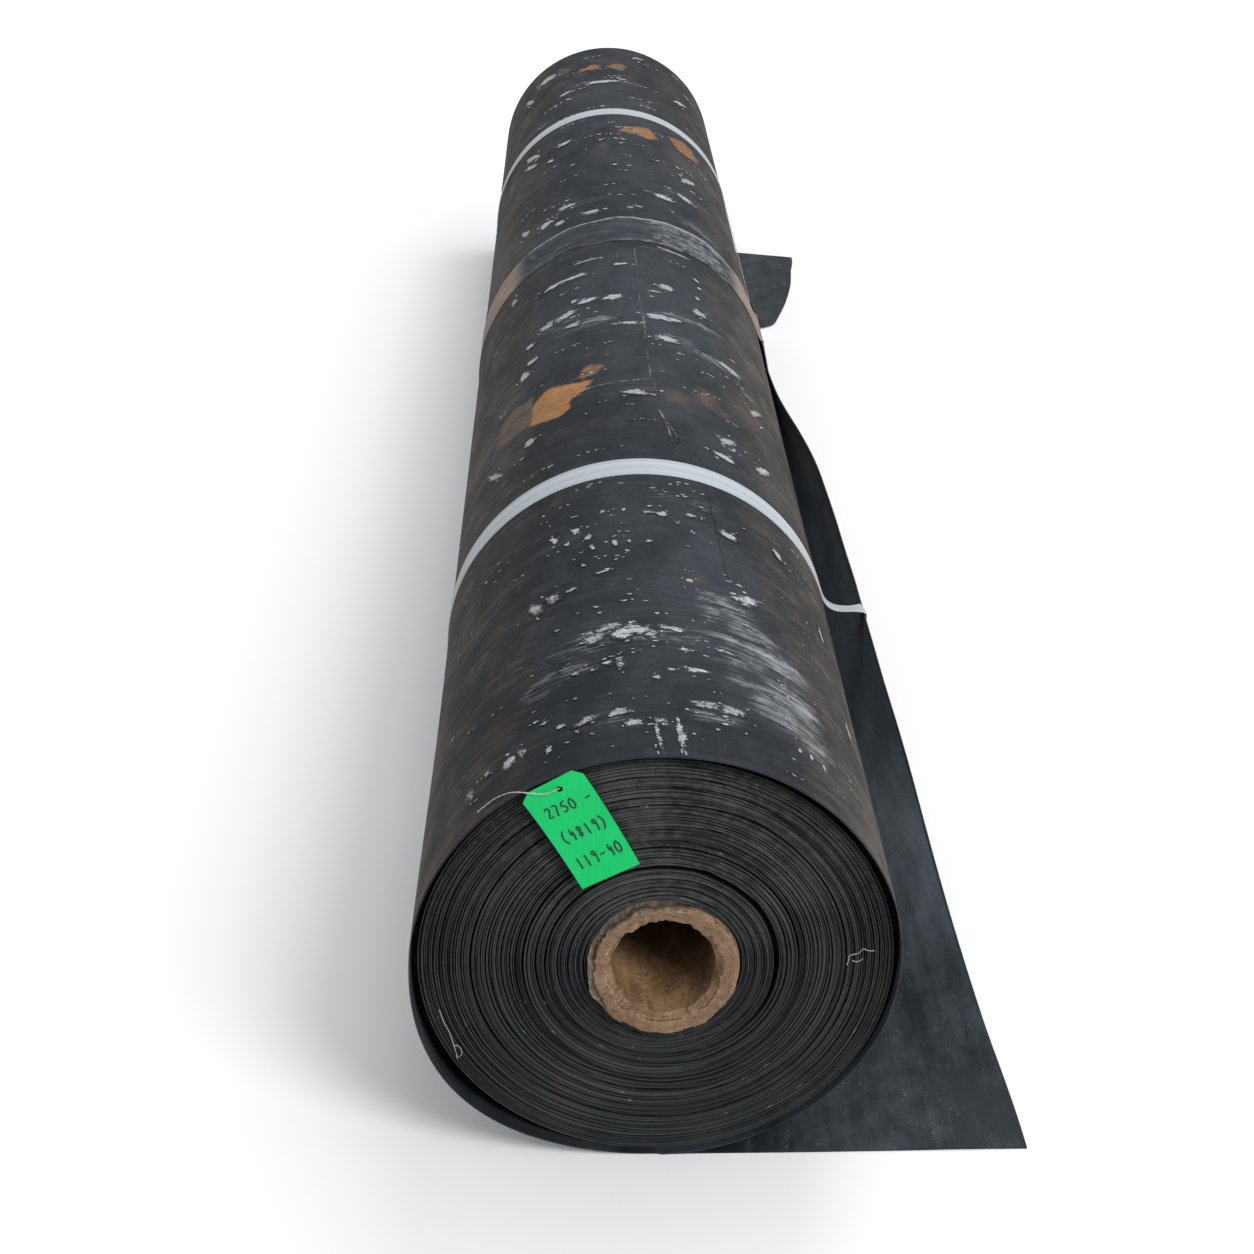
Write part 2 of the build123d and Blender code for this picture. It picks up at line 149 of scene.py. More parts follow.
# The larger white marks: angle, place, half width round the roll, half length along it, and
# how far they are turned, in degrees
MARKS = [
    (-30.3, -1215, 7, 15, 20), (-25.1, -1210, 9, 10, 40), (-16.8, -1152, 2.6, 6, 30),
    (-19.7, -1205, 5, 3, 30), (-11.4, -1180, 8, 2, 10), (11.2, -1206, 4.5, 6, 0),
    (-12.4, -1277, 2.2, 3, 0), (-6.3, -1257, 5, 1.6, 0), (-14.0, -1331, 12, 9, 30),
    (-10.2, -1312, 14, 7, 10), (-7.0, -1330, 9, 12, -40), (-3.2, -1324, 14, 9, -35),
    (0.2, -1336, 7, 9, 0), (5.1, -1321, 15, 5, -8), (-18.9, -1394, 4, 4, 0),
    (-14.5, -1397, 3, 3, 0), (-7.8, -1392, 4, 12, 10), (-10.9, -1388, 5, 4, 0),
    (8.6, -1366, 8, 3, 0), (10.4, -1406, 13, 5, 0), (4.2, -1409, 5, 2.5, 0),
    (0.6, -1426, 4, 4, 0), (18.4, -1354, 13, 2, -12), (26.8, -1213, 10, 17, -50),
    (12.0, -1473, 14, 7, 0), (18.0, -1474, 13, 9, 0), (-15.8, -1491, 12, 6, 15),
    (-8.7, -1488, 8, 7, 20), (-5.2, -1512, 9, 8, 0), (0.9, -1511, 8, 7, 0),
    (0.1, -1538, 2.8, 22, 4), (5.1, -1534, 3.6, 26, 3), (-26.7, -1469, 5, 2, 0),
    (-22.6, -1488, 4.5, 3, 0), (-18.5, -1507, 3, 2, 0), (-15.1, -1519, 2, 2, 0),
    (-25.4, -1522, 3.5, 4.5, 0), (-32.8, -1502, 4, 10, 20), (-36.4, -1507, 8, 9, 30),
    (-43.1, -1498, 4, 6, 0), (-48.7, -1509, 5, 13, 20), (35.5, -1495, 2.5, 4, 0),
    (38.9, -1493, 2.5, 5, 0), (42.9, -1496, 2.5, 5, 0), (53.8, -1466, 2, 5, 0),
    (57.6, -1136, 2.5, 14, 10), (61.6, -1325, 3, 16, 10), (42.3, -1026, 5, 11, 20),
    (0.5, -650, 19, 7, -6), (30.0, -748, 9, 17, -40), (47.0, -541, 6, 28, -30),
    (44.0, -765, 7, 22, -35), (28.0, -809, 14, 8, -15), (37.0, -436, 24, 10, -15),
    (13.5, -423, 18, 11, 0), (-35.0, -717, 10, 9, 30), (-50.0, -732, 6, 24, 30),
    (-35.6, -407, 9, 9, 0), (-38.6, -446, 9, 13, 30), (-37.0, -335, 8, 9, 0),
    (-11.0, -1023, 2, 4, 0), (-5.0, -1025, 2.5, 4, 0), (1.9, -1034, 7, 3, 0),
    (5.6, -1037, 8, 5, -15), (13.5, -1031, 4, 5, 0), (17.0, -1032, 3, 4, 0),
    (9.7, -1059, 2.5, 3, 0), (13.6, -1074, 2, 3, 0), (24.6, -1056, 11, 7, -15),
    (-18.7, -1058, 5, 8, 20), (-15.2, -1085, 5, 6, 0), (-25.2, -1062, 3.5, 10, 20),
    (-21.2, -1086, 3, 3, 0), (-7.9, -1112, 3, 7, 10), (-4.0, -1111, 2, 3, 0),
    (1.4, -1113, 4, 3, 0), (-14.1, -1112, 2.5, 7, 10), (-4.5, -1136, 3, 3, 0),
    (-4.0, 1219, 34, 11, 6), (6.4, 1244, 9, 4, 0), (-23.8, 1192, 14, 9, 20),
    (-35.1, 1435, 18, 26, 30), (17.1, 1496, 12, 6, 0), (40.3, 1250, 8, 24, -30),
    (-47.7, 1359, 8, 30, 20), (-23.9, 760, 14, 10, 20), (-42.1, 808, 10, 30, 30),
    (-42.9, 746, 8, 26, 30), (-31.1, 680, 6, 9, 20), (-0.7, 522, 6, 4, 0),
    (29.8, 618, 4, 7, 0), (34.9, 555, 10, 22, -35), (20.0, 348, 19, 12, -20),
    (31.0, 407, 16, 12, -20), (-22.6, 303, 14, 11, 20), (-12.0, 225, 16, 9, 10),
    (4.9, 237, 6, 5, 0), (8.3, 250, 6, 5, 0), (-32.2, 257, 12, 13, 20),
    (-25.4, 221, 9, 11, 20), (-43.4, 299, 7, 19, 20), (-13.3, -46, 19, 3, 8),
    (-18.5, -113, 20, 6, 12), (-27.0, -115, 19, 8, 20), (-1.0, -86, 12, 4, 10),
    (-14.3, -246, 15, 9, 8), (-4.8, -249, 18, 9, 10), (-19.2, -232, 6, 6, 0),
    (18.5, 22, 15, 3, -12), (24.0, 20, 13, 3, -12), (15.5, -182, 13, 12, -30),
    (11.0, -213, 8, 4, 0), (27.9, -250, 12, 12, -30), (28.9, -81, 4, 6, 0),
    (30.0, -117, 4, 5, 0), (28.2, -178, 4, 6, 0), (11.2, -332, 17, 12, -20),
    (17.0, -329, 10, 7, 0), (-0.1, -370, 17, 6, 0), (-19.3, -338, 13, 8, 10),
    (-22.1, -284, 18, 9, 25), (-30.0, -293, 12, 10, 25), (-47.0, -45, 7, 15, 20),
]
# Thin pale lines over the roll: width, shade, and the points as angle and place
LINES = [
    (1.9, 0.3, [(5.1, 190), (4.9, 40), (4.8, -91), (5.1, -264), (5.9, -399), (5.8, -549),
                 (7.5, -635)]),
    (6.0, 0.2, [(7.9, -706), (8.9, -735), (10.1, -765), (11.4, -819)]),
    (3.0, 0.26, [(8.2, -709), (9.8, -745), (12.4, -790), (14.4, -803), (11.4, -819)]),
    (1.6, 0.42, [(-16.1, -614), (-7.2, -611), (0.5, -604), (6.2, -596)]),
    (1.4, 0.34, [(-18.5, -624), (-15.0, -619), (-12.0, -616)]),
    (3.0, 0.2, [(-39.0, 8), (-30.0, 6), (-20.0, 4), (-8.5, 8), (7.3, 12), (20.0, 16),
                (28.0, 20)]),
    (1.0, 0.0, [(19.0, -850), (20.5, -1000), (22.5, -1180)]),
    (1.8, 0.12, [(-4.0, 160), (-3.4, 20), (-2.0, -60)]),
    (1.5, 0.16, [(3.0, -452), (2.6, -480), (4.0, -520)]),
]
# Pale creases on the flat rear part of the loose end: width, shade, and the points as distance
# out and place
FLAP_LINES = [
    (3.4, 0.3, [(262, 1418), (317.7, 1383.9), (366.3, 1321.9), (410.7, 1254.0)]),
    (3.0, 0.2, [(310.2, 1227.2), (359.2, 1240.6), (402.1, 1283.7)]),
    (3.0, 0.12, [(300, 1085), (340, 1075), (376, 1096)]),
    (2.6, 0.1, [(290, 1330), (330, 1300), (352, 1255)]),
]

# Pen strokes of plain numbers, each in a box one unit wide and two high
PEN_SHAPES = {
    "0": [[(0.5, 2), (0.05, 1.5), (0.1, 0.4), (0.5, 0), (0.9, 0.5), (0.9, 1.5), (0.5, 2)]],
    "1": [[(0.4, 1.9), (0.5, 1.0), (0.55, 0)]],
    "2": [[(0.1, 1.6), (0.5, 2.1), (0.9, 1.5), (0.5, 0.7), (0.05, 0.05), (1.0, 0.15)]],
    "4": [[(0.5, 2), (0.05, 0.8), (0.95, 0.85)], [(0.75, 1.5), (0.7, 0)]],
    "5": [[(0.9, 2), (0.2, 1.9), (0.15, 1.1), (0.7, 1.2), (0.9, 0.5), (0.4, 0), (0.05, 0.3)]],
    "7": [[(0.05, 1.9), (0.95, 2), (0.5, 1.0), (0.35, 0)]],
    "8": [[(0.8, 1.7), (0.4, 2), (0.2, 1.4), (0.8, 0.7), (0.5, 0), (0.15, 0.5), (0.8, 1.3),
           (0.8, 1.7)]],
    "9": [[(0.85, 1.4), (0.4, 1.1), (0.2, 1.7), (0.6, 2), (0.85, 1.5), (0.7, 0)]],
    "-": [[(0.1, 0.9), (0.9, 1.05)]],
    "(": [[(0.7, 2.2), (0.25, 1.5), (0.3, 0.5), (0.8, -0.2)]],
    ")": [[(0.2, 2.2), (0.6, 1.5), (0.6, 0.5), (0.2, -0.2)]],
}
# The tag's rows of numbers, with how far down it each is, and the height of a number
TAG_ROWS, PEN_HEIGHT = [("2750 -", 20.0), ("(4819)", 51.0), ("119-40", 81.0)], 13.0

# Loose threads on the front end, as distance out and height
THREADS = [
    [(-213.7, 183.5), (-210.7, 169.9), (-204.8, 154.8), (-202.6, 145.1), (-201.1, 138.8),
     (-197.5, 138.1), (-193.7, 133.9), (-193.3, 127.0), (-197.4, 122.9)],
    [(-202.4, 146.0), (-200.6, 135.4), (-199.2, 128.5), (-198.1, 122.9)],
    [(183.7, 231.1), (186.5, 236), (184.8, 240.7), (190, 244), (195.8, 242.9), (198.9, 250.5),
     (204, 247), (210.2, 246.2)],
    [(189, 236), (194, 231), (199, 238)],
]


class RollSizes(bpy.types.PropertyGroup):
    """Sizes of the roll and of what is round it."""

    roll_radius: FloatProperty(
        name="Roll Radius", description="Radius of the outer lap", default=0.2375, unit="LENGTH"
    )
    roll_length: FloatProperty(
        name="Roll Length", description="Length of the roll", default=3.15, unit="LENGTH"
    )
    sheet_thickness: FloatProperty(
        name="Sheet Thickness", description="Thickness of one turn", default=0.00152, unit="LENGTH"
    )
    turn_count: IntProperty(
        name="Turns", description="How many groups of turns show on an end", default=84
    )
    turns_radius: FloatProperty(
        name="Turns Radius", description="Radius of the turns inside the lap", default=0.2299,
        unit="LENGTH",
    )
    turns_drop: FloatProperty(
        name="Turns Drop", description="How far the turns lie below the middle", default=0.0056,
        unit="LENGTH",
    )
    core_radius: FloatProperty(
        name="Core Radius", description="Outer radius of the core", default=0.0762, unit="LENGTH"
    )
    bore_radius: FloatProperty(
        name="Bore Radius", description="Radius of the core's bore", default=0.0508, unit="LENGTH"
    )
    strap_width: FloatProperty(
        name="Strap Width", description="Width of a strap", default=0.047, unit="LENGTH"
    )
    strap_thickness: FloatProperty(
        name="Strap Thickness", description="Thickness of a strap", default=0.0012, unit="LENGTH"
    )
    tag_length: FloatProperty(
        name="Tag Length", description="Length of the tag", default=0.115, unit="LENGTH"
    )
    tag_width: FloatProperty(
        name="Tag Width", description="Width of the tag", default=0.0585, unit="LENGTH"
    )


class RollColours(bpy.types.PropertyGroup):
    """Colours of the pieces."""

    rubber: FloatVectorProperty(
        name="Rubber", description="Clean rubber on the top of the roll", subtype="COLOR",
        default=(0.0148, 0.0203, 0.0275),
    )
    dust: FloatVectorProperty(
        name="Dust", description="Brown dust on the sides", subtype="COLOR",
        default=(0.047, 0.0385, 0.03),
    )
    stain: FloatVectorProperty(
        name="Stain", description="Tan stains", subtype="COLOR", default=(0.38, 0.185, 0.072)
    )
    paint: FloatVectorProperty(
        name="Paint", description="White paint marks", subtype="COLOR", default=(0.52, 0.54, 0.56)
    )
    board: FloatVectorProperty(
        name="Board", description="Cardboard of the core", subtype="COLOR",
        default=(0.24, 0.148, 0.088),
    )
    strap: FloatVectorProperty(
        name="Strap", description="Plastic of the straps", subtype="COLOR",
        default=(0.41, 0.455, 0.485),
    )
    band: FloatVectorProperty(
        name="Band", description="Film of the band", subtype="COLOR", default=(0.27, 0.205, 0.17)
    )
    tag: FloatVectorProperty(
        name="Tag", description="Card of the tag", subtype="COLOR", default=(0.001, 0.52, 0.13)
    )
    wire: FloatVectorProperty(
        name="Wire", description="Tie wire", subtype="COLOR", default=(0.6, 0.56, 0.5)
    )


# Shapes


def sizes():
    """Give the panel's sizes, with every length in millimetres."""
    own = bpy.context.scene.roll_sizes
    given = {key: getattr(own, key) for key in RollSizes.__annotations__}
    return SimpleNamespace(
        **{key: value / MM if isinstance(value, float) else value for key, value in given.items()}
    )


def colours():
    return bpy.context.scene.roll_colours


def scaled(colour, share):
    """Darken or lighten a colour by a share."""
    return tuple(share * value for value in colour)


def settle(value, low, high):
    """Rise smoothly from 0 at low to 1 at high."""
    share = np.clip((np.asarray(value, dtype=float) - low) / (high - low), 0, 1)
    return share * share * (3 - 2 * share)


def waves(across, along, seed, reach, count=9):
    """Give a smooth random field between about -1 and 1 whose waves are reach long."""
    rng = np.random.default_rng(seed)
    total = np.zeros(np.broadcast(across, along).shape)
    for _ in range(count):
        way = rng.uniform(0, 2 * math.pi)
        length = reach * rng.uniform(0.6, 1.7)
        phase = rng.uniform(0, 2 * math.pi)
        total += np.sin(
            2 * math.pi * (across * math.cos(way) + along * math.sin(way)) / length + phase
        )
    return total / math.sqrt(count)


def ripples(line, seed, reach):
    """Give the waves along a line alone."""
    return waves(line, 0 * line, seed, reach)


def grid_faces(rows, columns, close_rows=False, close_columns=False):
    """Number the four corners of every cell of a grid, whose points run along its columns."""
    row = np.arange(rows if close_rows else rows - 1)
    column = np.arange(columns if close_columns else columns - 1)
    row, column = (side.ravel() for side in np.meshgrid(row, column, indexing="ij"))
    next_row, next_column = (row + 1) % rows, (column + 1) % columns
    corners = ((row, column), (row, next_column), (next_row, next_column), (next_row, column))
    return np.stack([down * columns + over for down, over in corners], axis=1)


def volume_of(points, faces):
    """Give the signed volume inside a closed mesh."""
    corners = points[faces]
    total = 0.0
    for last in range(2, faces.shape[1]):
        turned = np.cross(corners[:, last - 1], corners[:, last])
        total += np.einsum("ij,ij->i", corners[:, 0], turned).sum()
    return total / 6


def outward(points, faces):
    """Turn the faces of a closed mesh outwards."""
    return faces if volume_of(points, faces) > 0 else faces[:, ::-1]


def joined(parts):
    """Join closed parts, each its points, quads, fans and rows by point, facing outwards."""
    numbered, total = [], 0
    for points, quads, fans, *more in parts:
        numbered.append((points, quads + total, fans + total, *more))
        total += len(points)
    points, quads, fans, *more = (np.concatenate(group) for group in zip(*numbered))
    if volume_of(points, quads) + volume_of(points, fans) < 0:
        quads, fans = quads[:, ::-1], fans[:, ::-1]
    return (points, quads, fans, *more)


def placed(name, data):
    """Put an object that holds some data into the scene."""
    made = bpy.data.objects.new(name, data)
    bpy.context.collection.objects.link(made)
    return made


def build(name, points, faces, uvs=None, fields=None, sharp=60):
    """Make an object of points in millimetres, in the frame the model is packed in."""
    mesh = bpy.data.meshes.new(name)
    faces = [faces] if isinstance(faces, np.ndarray) else faces
    mesh.from_pydata(
        (np.asarray(points) * MM).tolist(), [], [face for part in faces for face in part.tolist()]
    )
    for key, values in (fields or {}).items():
        mesh.attributes.new(key, "FLOAT", "POINT").data.foreach_set(
            "value", np.asarray(values, dtype=np.float32).ravel()
        )
    if uvs is not None:
        layer = mesh.uv_layers.new(name="unrolled")
        layer.data.foreach_set("uv", np.asarray(uvs, dtype=np.float32).ravel())
    mesh.shade_smooth()
    mesh.set_sharp_from_angle(angle=math.radians(sharp))
    mesh.validate()
    return placed(name, mesh)


def corner_uvs(faces, across, along):
    """Give every corner of the faces its point's place, with the seam's cells kept whole."""
    across, along = across.ravel() * MM, along.ravel() * MM
    places = np.stack([across[faces], along[faces]], axis=2)
    whole = across.max() - across.min()
    torn = places[:, :, 0].max(axis=1) - places[:, :, 0].min(axis=1) > whole / 2
    shifted = places[torn]
    step = whole * (1 + 1 / max(1, len(np.unique(across)) - 1))
    shifted[:, :, 0] += np.where(shifted[:, :, 0] < across.min() + whole / 2, step, 0)
    places[torn] = shifted
    return places


def closed_shell(name, points, across, along, fields, sharp):
    """Make a shell of a grid of points that closes on itself both ways."""
    rows, columns = points.shape[:2]
    points = points.reshape(-1, 3)
    points[:, 2] = np.maximum(points[:, 2], FLOOR_GAP)
    faces = outward(points, grid_faces(rows, columns, True, True))
    return build(name, points, faces, corner_uvs(faces, across, along), fields, sharp)


def dress(made, material, slot, *nodes):
    """Give a piece its finish and its place in the frame, and hide the nodes it stands for."""
    made.data.materials.clear()
    made.data.materials.append(material)
    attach(made, "root")
    if nodes:
        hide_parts(*nodes)
    return made


def plain_mesh(made):
    """Turn an object's evaluated shape into a plain mesh of its own."""
    bpy.context.view_layer.update()
    evaluated = made.evaluated_get(bpy.context.evaluated_depsgraph_get())
    mesh = bpy.data.meshes.new_from_object(evaluated)
    name, old = made.name, made.data
    mesh.name = name
    bpy.data.objects.remove(made)
    (bpy.data.curves if isinstance(old, bpy.types.Curve) else bpy.data.meshes).remove(old)
    return placed(name, mesh)


def on_skin(arc, along, lift):
    """Place points on the roll by their arc from its top, their place along it and a lift."""
    radius = sizes().roll_radius
    turn = np.asarray(arc) / radius
    out, up = (radius + lift) * np.sin(turn), radius + (radius + lift) * np.cos(turn)
    return np.stack([out, np.broadcast_to(along, out.shape), up], axis=-1)


def arc_per_degree():
    return math.radians(1) * sizes().roll_radius


def loose_gap(angle, along):
    """Give how far the outer lap stands off the turns at the lower left of the front end."""
    share = np.clip((along + sizes().roll_length / 2) / 620.0, 0, 1)
    turn = np.clip((90 - angle - 176.0) / 88.0, 0, 1)
    return 10.6 * (1 - share) ** 2 * (1 + 2 * share) * np.sin(np.pi * turn) ** 2


def held_down(along, holds, fade):
    """Give how firmly the sheet is held along the roll, by places with half their widths."""
    held = [1 - settle(np.abs(along - place), half, half + fade) for place, half in holds]
    return np.max(held, axis=0)


def edge_at(places):
    """Give the free edge's distance out and height and the sheet's slopes at places along it."""
    rows = np.array(EDGE_ROWS)
    stations = rows[:, 0]
    gaps = np.diff(stations)
    rises = np.diff(rows[:, 1:], axis=0) / gaps[:, None]
    slopes = np.zeros_like(rows[:, 1:])
    before, after = rises[:-1], rises[1:]
    same_way = before * after > 0
    total = np.where(same_way, before + after, 1)
    slopes[1:-1] = np.where(same_way, 2 * before * after / total, 0)
    row = np.clip(np.searchsorted(stations, places, side="right") - 1, 0, len(gaps) - 1)
    gap = gaps[row][:, None]
    share = ((places - stations[row]) / gaps[row])[:, None]
    return (
        rows[row, 1:] * (1 + 2 * share) * (1 - share) ** 2
        + slopes[row] * gap * share * (1 - share) ** 2
        + rows[row + 1, 1:] * share**2 * (3 - 2 * share)
        - slopes[row + 1] * gap * share**2 * (1 - share)
    ).T


def eased(a, b, c, d, share):
    """Give points at shares of the curve from a to d that leaves towards b and comes from c."""
    return (
        a * (1 - share) ** 3
        + 3 * b * share * (1 - share) ** 2
        + 3 * c * share**2 * (1 - share)
        + d * share**3
    )


def sheet_section(places, shares, offset=0.0):
    """Give the loose sheet's section and the side that faces the roll, at places and shares."""
    out, up, root_slope, edge_slope = edge_at(np.asarray(places, dtype=float))
    root_angle, edge_angle = np.radians(root_slope), np.radians(edge_slope)
    root_way = np.stack([np.cos(root_angle), np.sin(root_angle)], axis=1)
    edge_way = np.stack([np.cos(edge_angle), np.sin(edge_angle)], axis=1)
    start = np.tile([ROOT_OUT, ROOT_UP], (len(out), 1))
    finish = np.stack([out, up], axis=1)
    reach = TAIL_BOW * np.linalg.norm(finish - start, axis=1)[:, None]
    ends = [start, start + root_way * reach, finish - edge_way * reach, finish]
    share = np.asarray(shares, dtype=float)[None, :, None]
    a, b, c, d = (end[:, None, :] for end in ends)
    ways = (b - a) * (1 - share) ** 2 + 2 * (c - b) * share * (1 - share) + (d - c) * share**2
    ways /= np.linalg.norm(ways, axis=2, keepdims=True)
    sides = np.stack([-ways[:, :, 1], ways[:, :, 0]], axis=2)
    return eased(a, b, c, d, share) + sides * offset, sides


def inside_outline(across, along, outline):
    """Give the distance to an outline, above zero inside it."""
    outline = np.asarray(outline, dtype=float)
    nearest = np.full(across.shape, 1e9)
    inside = np.zeros(across.shape, dtype=bool)
    for start, finish in zip(outline, np.roll(outline, -1, axis=0)):
        run = finish - start
        over, down = across - start[0], along - start[1]
        share = np.clip((over * run[0] + down * run[1]) / (run @ run), 0, 1)
        nearest = np.minimum(nearest, np.hypot(over - share * run[0], down - share * run[1]))
        if run[1] != 0:
            crosses = (start[1] > along) != (finish[1] > along)
            inside ^= crosses & (across < start[0] + down * run[0] / run[1])
    return np.where(inside, nearest, -nearest)


# Finishes


class Nodes:
    """A node tree under construction."""

    def __init__(self, tree):
        self.tree = tree

    def add(self, kind, inputs=None, **settings):
        made = self.tree.nodes.new(kind)
        for key, value in settings.items():
            setattr(made, key, value)
        for key, value in (inputs or {}).items():
            if isinstance(value, bpy.types.NodeSocket):
                self.tree.links.new(value, made.inputs[key])
            else:
                made.inputs[key].default_value = value
        return made

    def maths(self, operation, first, *others):
        """Take a value on through others, such as to their sum."""
        for other in others:
            inputs = {0: first, 1: other}
            first = self.add("ShaderNodeMath", inputs, operation=operation).outputs[0]
        return first

    def plus(self, *values):
        return self.maths("ADD", *values)

    def times(self, *values):
        return self.maths("MULTIPLY", *values)

    def one(self, operation, value):
        return self.add("ShaderNodeMath", {0: value}, operation=operation).outputs[0]


class Finish(Nodes):
    """A material and the nodes that are added to it."""

    def __init__(self, name, roughness=0.7, specular=0.5):
        self.material = bpy.data.materials.new(name)
        self.material.use_nodes = True
        super().__init__(self.material.node_tree)
        self.shader = self.tree.nodes["Principled BSDF"]
        self.shader.inputs["Roughness"].default_value = roughness
        self.shader.inputs["Specular IOR Level"].default_value = specular

    def place(self, scale, uv=True):
        """Give the piece's unrolled map, or its own coordinates, scaled each way."""
        if uv:
            source = self.add("ShaderNodeUVMap", uv_map="unrolled").outputs[0]
        else:
            source = self.add("ShaderNodeTexCoord").outputs["Object"]
        return self.add("ShaderNodeMapping", {"Vector": source, "Scale": scale}).outputs[0]

    def noise(self, scale, detail=3.0, rough=0.55, warp=0.0, uv=True):
        inputs = {
            "Vector": self.place(scale, uv), "Scale": 1.0, "Detail": detail,
            "Roughness": rough, "Distortion": warp,
        }
        return self.add("ShaderNodeTexNoise", inputs).outputs["Fac"]

    def between(self, value, low, high, least=0.0, most=1.0):
        """Bring a value from between low and high to between least and most."""
        inputs = {0: value, 1: low, 2: high, 3: least, 4: most}
        return self.add("ShaderNodeMapRange", inputs, clamp=True).outputs[0]

    def field(self, name):
        return self.add("ShaderNodeAttribute", attribute_name=name).outputs["Fac"]

    def mix(self, share, first, second):
        """Mix two colours, each three numbers or a socket."""
        inputs = {0: share}
        for key, value in ((6, first), (7, second)):
            inputs[key] = value if isinstance(value, bpy.types.NodeSocket) else (*value, 1)
        return self.add("ShaderNodeMix", inputs, data_type="RGBA").outputs[2]

    def coats(self, colour, *coats):
        """Lay coats over a colour, each the share that it covers and its own colour."""
        for share, coat in coats:
            colour = self.mix(share, colour, coat)
        return colour

    def cracks(self, noise, width, width_lost, cover):
        """Give thin lines along the middle of a noise, where a cover lets them show."""
        line = self.between(self.one("ABSOLUTE", self.plus(noise, -0.5)), width, width_lost)
        return self.times(line, *cover)

    def done(self, colour, bump, distance, rough=None, strength=1.0):
        """Give the material its colour, the height of its bumps and how rough it is."""
        self.tree.links.new(colour, self.shader.inputs["Base Color"])
        if rough is not None:
            self.tree.links.new(rough, self.shader.inputs["Roughness"])
        inputs = {"Height": bump, "Strength": strength, "Distance": distance}
        made = self.add("ShaderNodeBump", inputs)
        self.tree.links.new(made.outputs[0], self.shader.inputs["Normal"])
        return self.material


def rubber_colour(finish):
    """Mix the scuffed, dusty rubber of the roll's outer lap, on its unrolled map."""
    clean, dusty = tuple(colours().rubber), tuple(colours().dust)
    between, plus, times, noise = finish.between, finish.plus, finish.times, finish.noise
    cloud = noise((3.0, 1.6, 1), 4)
    patchy = noise((18, 11, 1), 6, 0.7)
    rings = noise((2.6, 55, 1), 5, 0.7)
    wiped = noise((5.5, 110, 1), 7, 0.78, 0.4)
    scratch = noise((9, 420, 1), 5, 0.75)
    grain = noise((260, 180, 1), 3)
    split = noise((14, 24, 1), 6, 0.7, 1.0)
    dust, patches = finish.field("dust"), between(patchy, 0.45, 0.6)
    pale = between(plus(cloud, times(rings, 0.5), times(patchy, 0.7)), 0.97, 1.27)
    mottled = between(plus(cloud, times(patchy, 1.2)), 0.85, 1.3, 0.15, 1.0)
    brown = between(plus(wiped, times(patchy, 0.5)), 0.76, 0.9)
    rubbed = between(plus(scratch, times(cloud, 0.6)), 0.88, 0.98)
    cracks = finish.cracks(split, 0.01, 0.003, (between(patchy, 0.48, 0.6), 0.75))
    colour = finish.coats(
        finish.mix(pale, scaled(clean, 0.56), tuple(1.6 * value + 0.004 for value in clean)),
        (times(dust, mottled), dusty),
        (times(brown, plus(dust, 0.06), 0.66), (0.16, 0.12, 0.085)),
        (times(rubbed, dust, 0.55), (0.24, 0.225, 0.205)),
        (times(between(wiped, 0.45, 0.36), dust, 0.7), (0.012, 0.012, 0.013)),
        (times(between(patchy, 0.5, 0.38), dust, 0.55), (0.018, 0.017, 0.016)),
        (cracks, (0.006, 0.006, 0.006)),
        (times(between(scratch, 0.6, 0.7), patches, 0.35), (0.14, 0.135, 0.13)),
        (times(between(grain, 0.64, 0.72), patches, 0.4), (0.13, 0.12, 0.11)),
    )
    return colour, rings, grain


def rubber_finish():
    """The outer lap: dusty rubber with tan stains, brown smudges, brushed white haze and painted
    shade.
    """
    tint = colours()
    finish = Finish("Weathered Rubber", specular=0.2)
    between, plus, times, noise = finish.between, finish.plus, finish.times, finish.noise
    colour, rings, grain = rubber_colour(finish)
    ragged = noise((34, 20, 1), 6, 0.65)
    broken = noise((90, 60, 1), 4, 0.7)
    brushed = noise((8, 210, 1), 7, 0.8, 0.3)
    feather = noise((34, 60, 1), 6, 0.75, 0.6)
    smudge = between(plus(ragged, broken), 0.7, 1.25, 0.2, 1.0)
    edge = plus(finish.field("stain"), times(ragged, 0.3), times(brushed, 0.22), -0.26)
    depth = finish.field("stain_depth")
    worn = plus(times(brushed, 1.9), times(broken, 0.6), times(depth, 0.6))
    cover = times(
        between(edge, 0.48, 0.52), between(depth, 0.0, 0.6), between(worn, 1.35, 1.85, 0.25, 1.0)
    )
    stain = finish.mix(between(ragged, 0.35, 0.7), tuple(tint.stain), scaled(tint.stain, 0.68))
    stain = finish.mix(between(depth, 0.6, 0.4), stain, (0.25, 0.18, 0.12))
    reach = finish.field("haze")
    streaks = plus(
        times(reach, 0.95), times(plus(brushed, -0.5), 4.0), times(plus(feather, -0.5), 2.4)
    )
    haze = times(between(streaks, 0.22, 1.2), between(reach, 0.02, 0.3), 0.88)
    colour = finish.coats(
        colour,
        (times(finish.field("smudge"), smudge, 0.8), (0.2, 0.11, 0.055)),
        (cover, stain),
        (haze, scaled(tint.paint, 0.72)),
        # Painted shade: near black on the walls behind the rims and down the bore, and a light
        # touch of it on the top near the front end
        (times(finish.field("inside"), 0.85), (0.004, 0.0044, 0.005)),
    )
    bump = plus(times(rings, 0.35), times(grain, 0.2), cover)
    rough = between(plus(rings, times(grain, 0.5)), 0.4, 1.1, 0.6, 0.88)
    return finish.done(colour, bump, 0.0006, rough)


